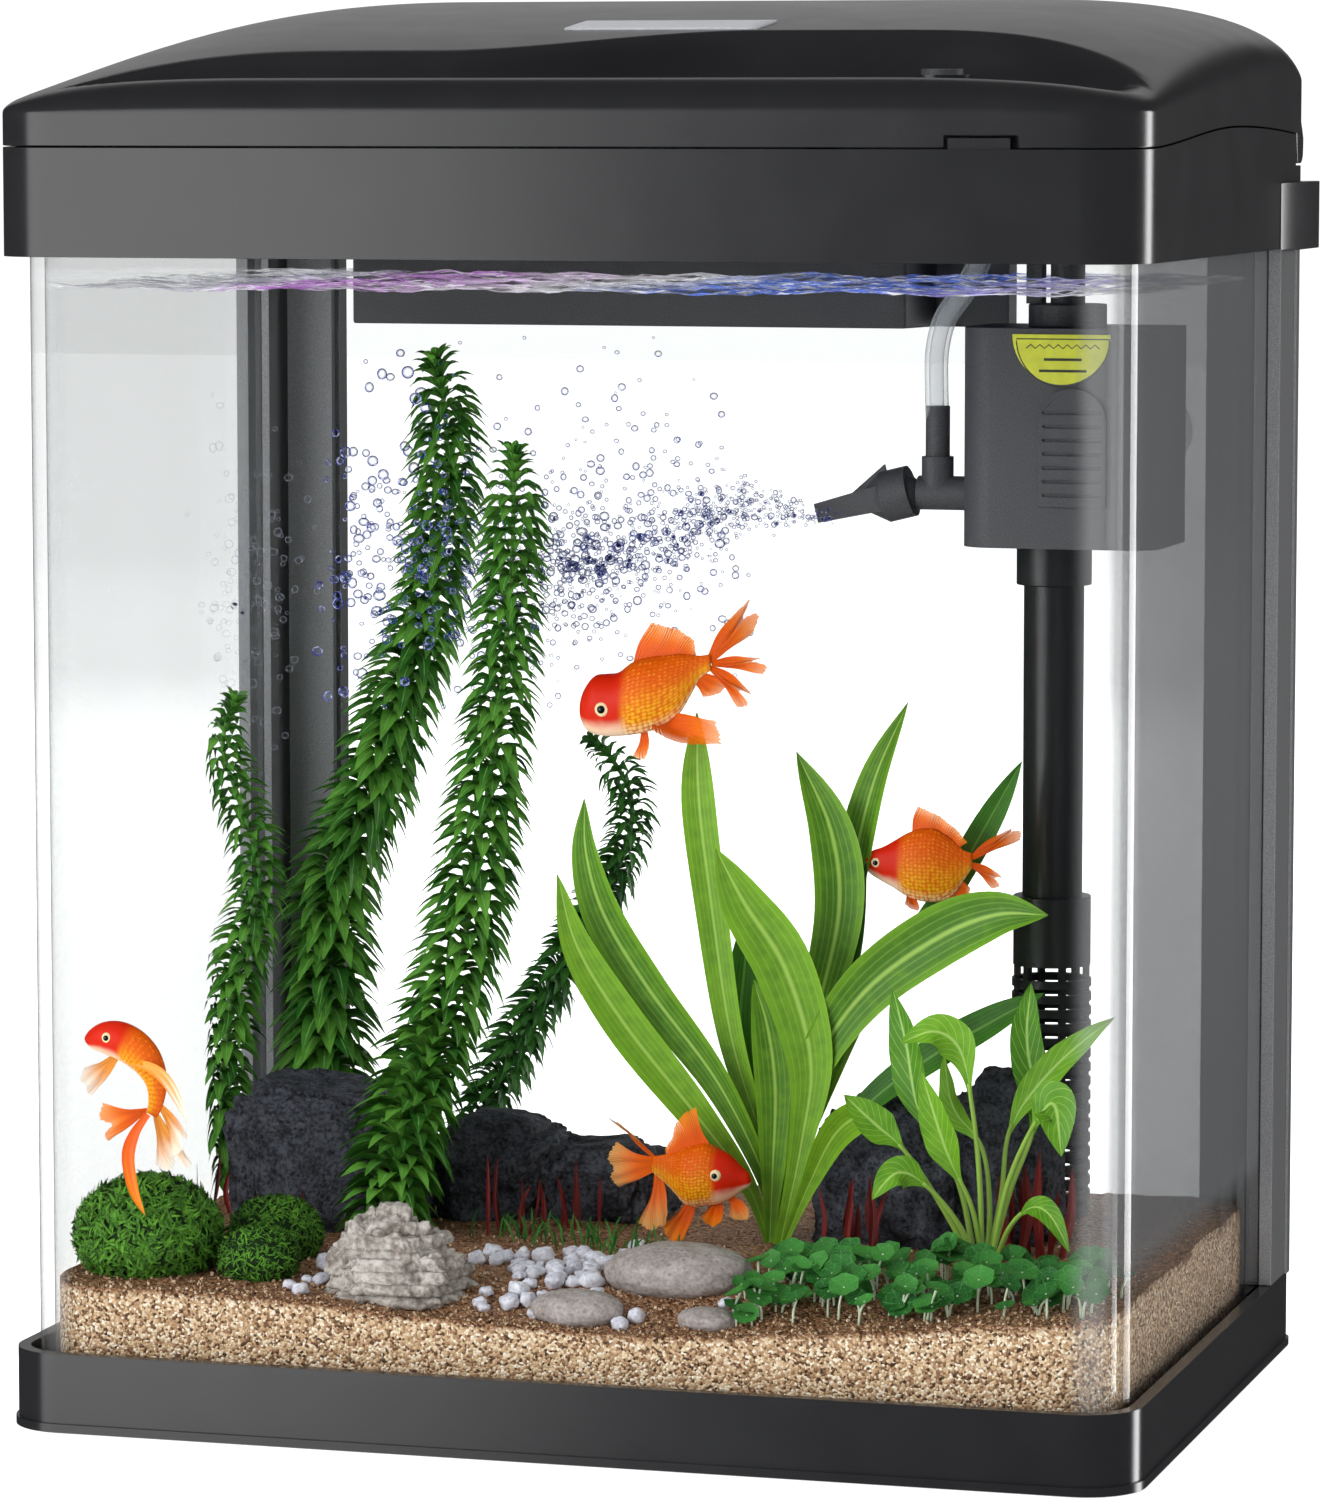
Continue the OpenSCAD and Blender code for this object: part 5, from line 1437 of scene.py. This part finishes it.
def makeBubbles():
    chance = random.Random(61)
    shape, faint = Shape(), Shape()
    path = curveThrough(stream["route"], 8)
    widths = curveThrough([(w, 0, 0) for w in stream["spread"]], 8)

    def bubble(into, middle, size, steps):
        stretch = Vector((chance.uniform(0.9, 1.15), 1, chance.uniform(0.85, 1.1)))
        addBlob(into, steps, lambda n: middle + Vector(a * b for a, b in zip(n, stretch)) * size)

    for _ in range(stream["dense"]):
        t = chance.random() ** 0.85
        k = min(len(path) - 1, int(t * len(path)))
        wide = widths[k].x
        away = Vector((chance.gauss(0, 3), chance.gauss(0, wide * 0.5), chance.gauss(0, wide * 0.5)))
        middle = path[k] + away
        keep = chance.random() < mix(1.0, 0.3, clamp((t - 0.55) / 0.4))
        size = mix(0.42, 1.0, t) * math.exp(chance.gauss(0, 0.33))
        if keep and middle.z + size < water["level"] - 3:
            bubble(shape, middle, size, 1)
    for _ in range(stream["sparse"]):
        x = chance.uniform(-112, 8)
        middle = Vector((x, chance.uniform(10, 70), chance.gauss(240, 25)))
        if abs(x + 50) < 62 and 190 < middle.z < 300:
            bubble(shape, middle, chance.uniform(0.4, 1.2) * (1.5 if x < -80 else 1), 2)
    for _ in range(stream["faint"]):
        middle = Vector((chance.gauss(-136, 7), chance.uniform(0, 60), chance.gauss(222, 24)))
        if -148 < middle.x < -112:
            bubble(faint, middle, chance.uniform(0.5, 1.4), 1)
    shape.make("bubble_stream", "bubble", "tank")
    faint.make("bubble_haze", "bubbleFaint", "tank")


# ---- Goldfish ----
def fan(root, tip, start, end, lengths, finish="fin", sway=1.5, rays=26, split=0.0):
    # a fin whose rays leave a line from root to tip at angles from start to end, in degrees
    return {"root": root, "tip": tip, "start": start, "end": end, "lengths": lengths, "finish": finish,
            "sway": sway, "rays": rays, "split": split}


# stations are x and z from the nose and half the height; fins and ribbons are given from the nose too,
# and the eye is x, z, radius and radius of its pupil
fishes = {
    "goldfish_cap": {
        "nose": (-25.8, 0, 192.8), "wide": 0.62, "upright": True, "eye": (8, 1.0, 2.15, 1.25),
        "stations": [(0, 0.2, 0.5), (0.5, 0.5, 3.4), (2, 0.9, 6.3), (4.6, 1.7, 8.4), (8, 1.8, 8.9),
                     (11.5, 2.1, 9.1), (15.5, 3.8, 10.3), (20, 5.0, 10.6), (25, 6.4, 9.9), (29.5, 8.4, 8.4),
                     (33, 11.2, 5.5), (35.5, 13.3, 3.2), (38.5, 14.6, 2.4)],
        "fins": [fan((15.5, 13), (33, 15.6), 74, 42, (13.5, 12, 10.5, 7.5, 1.5), sway=0.8),
                 fan((37.5, 16), (39, 14.5), 66, 36, (16, 20.5, 21, 18.5, 13.5), sway=4, split=0.3),
                 fan((38.6, 15), (39, 13.6), 14, -8, (13, 18, 15.5), sway=-2, split=0.3),
                 fan((38.2, 14), (38, 12.6), -18, -46, (14, 18.5, 14), sway=-6, split=0.35),
                 fan((33.5, 9), (36, 12), -52, -20, (5, 8, 8), sway=1),
                 fan((19.5, -1), (20, 0.6), -34, -6, (5, 25, 22), "fin", -7),
                 fan((18, -5.6), (20, -5.2), -98, -80, (7, 8, 5), "fin", -2, 10)]},
    "goldfish_round": {
        "nose": (52.5, 20, 149.5), "wide": 0.46, "upright": True, "eye": (3.9, 0.4, 1.4, 0.8),
        "stations": [(0, 0, 0.4), (0.6, 0, 1.7), (2.2, 0.1, 3.4), (5.5, -0.2, 5.0), (8.7, -0.1, 6.7),
                     (12.5, -0.1, 9.0), (16.3, 0, 10.3), (20.1, 0, 10.5), (23.3, -0.4, 9.6),
                     (26.5, -0.6, 7.4), (29, 0.2, 4.5), (31.5, 1.6, 2.2)],
        "fins": [fan((14, 9.5), (27.5, 5), 86, 34, (7.2, 7, 5.5, 3.2), sway=0.5),
                 fan((31, 3), (31.5, 1.8), 44, 22, (12, 17, 14.5), sway=3, split=0.2),
                 fan((31, 1.2), (31, 0.2), -8, -42, (9, 12.5, 9), sway=-3, split=0.3),
                 fan((24, -8), (28, -3.5), -72, -44, (5, 7, 4), sway=1),
                 fan((12, -7), (14, -8.5), -70, -40, (4, 6.5, 4), sway=-4)]},
    "goldfish_low": {
        "nose": (27.6, -10, 61.6), "wide": 0.66, "upright": True, "eye": (-9.2, 1.9, 1.75, 0.95),
        "stations": [(0, 0, 0.5), (-0.8, 0.3, 2.0), (-2.8, 0.6, 3.5), (-6, 0.9, 6.2), (-9.4, 0.9, 7.9),
                     (-12.9, 1.3, 8.9), (-16.4, 0.7, 8.9), (-19.6, 0.7, 8.0), (-22.6, 1.4, 5.7),
                     (-26, 2.6, 3.7), (-29, 3.4, 2.3)],
        "fins": [fan((-12, 9.6), (-24.5, 5), 120, 108, (11.5, 11, 9, 5.5, 3), sway=0.8),
                 fan((-28, 5.5), (-28, 1.5), 172, 204, (13, 15.5, 15.5, 13), "finPale", 3, split=0.12),
                 fan((-28, 4.5), (-27.4, 5), 140, 132, (14, 19, 10), "finPale", -3),
                 fan((-28.4, 2), (-26.4, 1), 264, 286, (15, 17.5, 11), "finPale", -5, split=0.15),
                 fan((-19, -6.6), (-16, -7.5), 236, 252, (9, 12, 10), "fin", -4),
                 fan((-11.5, -6.5), (-8.5, -6.2), 250, 284, (4, 6.5, 5), "fin", -5),
                 fan((-7, -5), (-5, -4.6), 300, 334, (5, 8.5, 6.5), "finPale", -5)]},
    "goldfish_trail": {
        "nose": (-139.5, -95, 106.5), "wide": 0.72, "upright": False, "eye": (7.4, 1.9, 1.45, 0.85),
        "stations": [(0, 0, 0.5), (0.6, 0.3, 1.7), (2.5, 0.8, 3.2), (6, 1.3, 4.6), (10, 0.9, 5.2),
                     (14.2, -1.1, 5.2), (17.8, -4.4, 4.6), (20.2, -8.8, 3.6), (20.8, -13, 2.7),
                     (20.2, -17, 2.1), (19.2, -19.5, 1.7)],
        "fins": [fan((19, -17.5), (18, -19), 186, 214, (15, 17, 15), "fin", 2, split=0.25),
                 fan((19.5, -19), (21, -18.5), 276, 300, (15, 19, 17), "finWhite", 3, split=0.3),
                 fan((21, -17), (22, -16), 296, 318, (14, 15, 10), "finWhite", -2, split=0.3),
                 fan((8, -3), (10, -4), 214, 236, (8, 13.5, 12), "finWhite", -4, split=0.2)],
        "ribbons": [("finWhite", 3.2, [(13.5, -4.5), (20, -5.6), (25, -8.6), (29, -14), (32.2, -20.5)]),
                    ("fin", 3.6, [(19, -19), (15.5, -24.5), (14, -31), (16, -40), (19.5, -46.5)])]},
}


def addFin(shapes, nose, fin, chance):
    rays, steps = fin["rays"], 9
    shape = shapes[fin["finish"]]
    lengths = fin["lengths"]
    rows, tags = [], []
    for i in range(rays + 1):
        u = i / rays
        at = u * (len(lengths) - 1)
        k = min(len(lengths) - 2, int(at))
        long = mix(lengths[k], lengths[k + 1], at - k)
        long *= 1 - fin["split"] * math.exp(-((u - 0.5) / 0.14) ** 2) + 0.02 * math.sin(i * 2.6)
        angle = math.radians(mix(fin["start"], fin["end"], u))
        base = Vector((mix(fin["root"][0], fin["tip"][0], u), 0, mix(fin["root"][1], fin["tip"][1], u)))
        row, tagRow = [], []
        for j in range(steps + 1):
            t = j / steps
            bend = angle + 0.16 * t * t * (u - 0.5) + 0.05 * math.sin(t * 5 + u * 6)
            reach = Vector((math.cos(bend), 0, math.sin(bend))) * (long * t)
            swing = fin["sway"] * t * t + 0.5 * t * math.sin(u * 19)
            row.append(nose + base + reach + Vector((0, swing, 0)))
            tagRow.append((t, u * rays, chance))
        rows.append(row)
        tags.append(tagRow)
    shape.grid(rows, tags)


def makeFish(name, fish):
    chance = random.Random(name)
    nose = Vector(fish["nose"])
    line = curveThrough([(x, 0, z) for x, z, _ in fish["stations"]], 5)
    halves = [p.x for p in curveThrough([(half, 0, 0) for _, _, half in fish["stations"]], 5)]
    shapes = {key: Shape() for key in ("skin", "fin", "finPale", "finWhite", "eyeRing", "pupil")}
    rows, tags = [], []
    sides = 36
    count = len(line)
    shares = [0.0]
    for a, b in zip(line, line[1:]):
        shares.append(shares[-1] + (b - a).length)
    forward = 1 if fish["stations"][-1][0] > 0 else -1
    for i, p in enumerate(line):
        t = shares[i] / shares[-1]
        along = tangentAt(line, i)
        up = Vector((0, 0, 1)) if fish["upright"] else Vector((-along.z, 0, along.x)) * forward
        wide = halves[i] * fish["wide"] * mix(1.0, 0.5, ease((t - 0.45) / 0.55))
        row, tagRow = [], []
        for k in range(sides):
            a = math.tau * k / sides
            # fuller cheeks and a slight ridge where the gill cover ends
            cheek = 1 + 0.06 * math.exp(-((t - 0.27) / 0.045) ** 2) * max(0, -math.sin(a) * 0.3 + 0.7)
            row.append(nose + p + up * (halves[i] * math.sin(a)) + Vector((0, wide * math.cos(a) * cheek, 0)))
            tagRow.append((t, math.sin(a), math.cos(a)))
        rows.append(row)
        tags.append(tagRow)
    ids = shapes["skin"].grid(rows, tags, loop=True)
    shapes["skin"].cap(ids[0], True)
    shapes["skin"].cap(ids[-1])
    for fin in fish["fins"]:
        addFin(shapes, nose, fin, chance.random())
    for finish, width, route in fish.get("ribbons", ()):
        points = [nose + Vector((x, -2.5 - i, z)) for i, (x, z) in enumerate(route)]
        addStrap(shapes[finish], points, width, 0.5, bladeShape(0.5, 0.45), Vector((0.1, -1, 0.1)), 0.2, 6)
    ex, ez, size, dark = fish["eye"]
    near = min(range(count), key=lambda i: (line[i].x - ex) ** 2 + (line[i].z - ez) ** 2)
    out = halves[near] * fish["wide"] * math.sqrt(max(0.1, 1 - ((ez - line[near].z) / halves[near]) ** 2))
    for look in (-1, 1):
        eye = nose + Vector((ex, look * (out - size * 0.25), ez))
        addBlob(shapes["eyeRing"], 3, lambda n: eye + Vector((n.x, n.y * 0.62, n.z)) * size)
        front = eye + Vector((0, look * size * 0.4, 0))
        addBlob(shapes["pupil"], 3, lambda n: front + Vector((n.x, n.y * 0.55, n.z)) * dark)
    for key, shape in shapes.items():
        if shape.points:
            keepInside(shape).make(name + "_" + key, key, "tank")


makePlate()
makeTube()
makeLabel()
makeWater()
makeBubbles()
for key, value in fishes.items():
    makeFish(key, value)
print("plate, tube, label, water, bubbles and fish made")
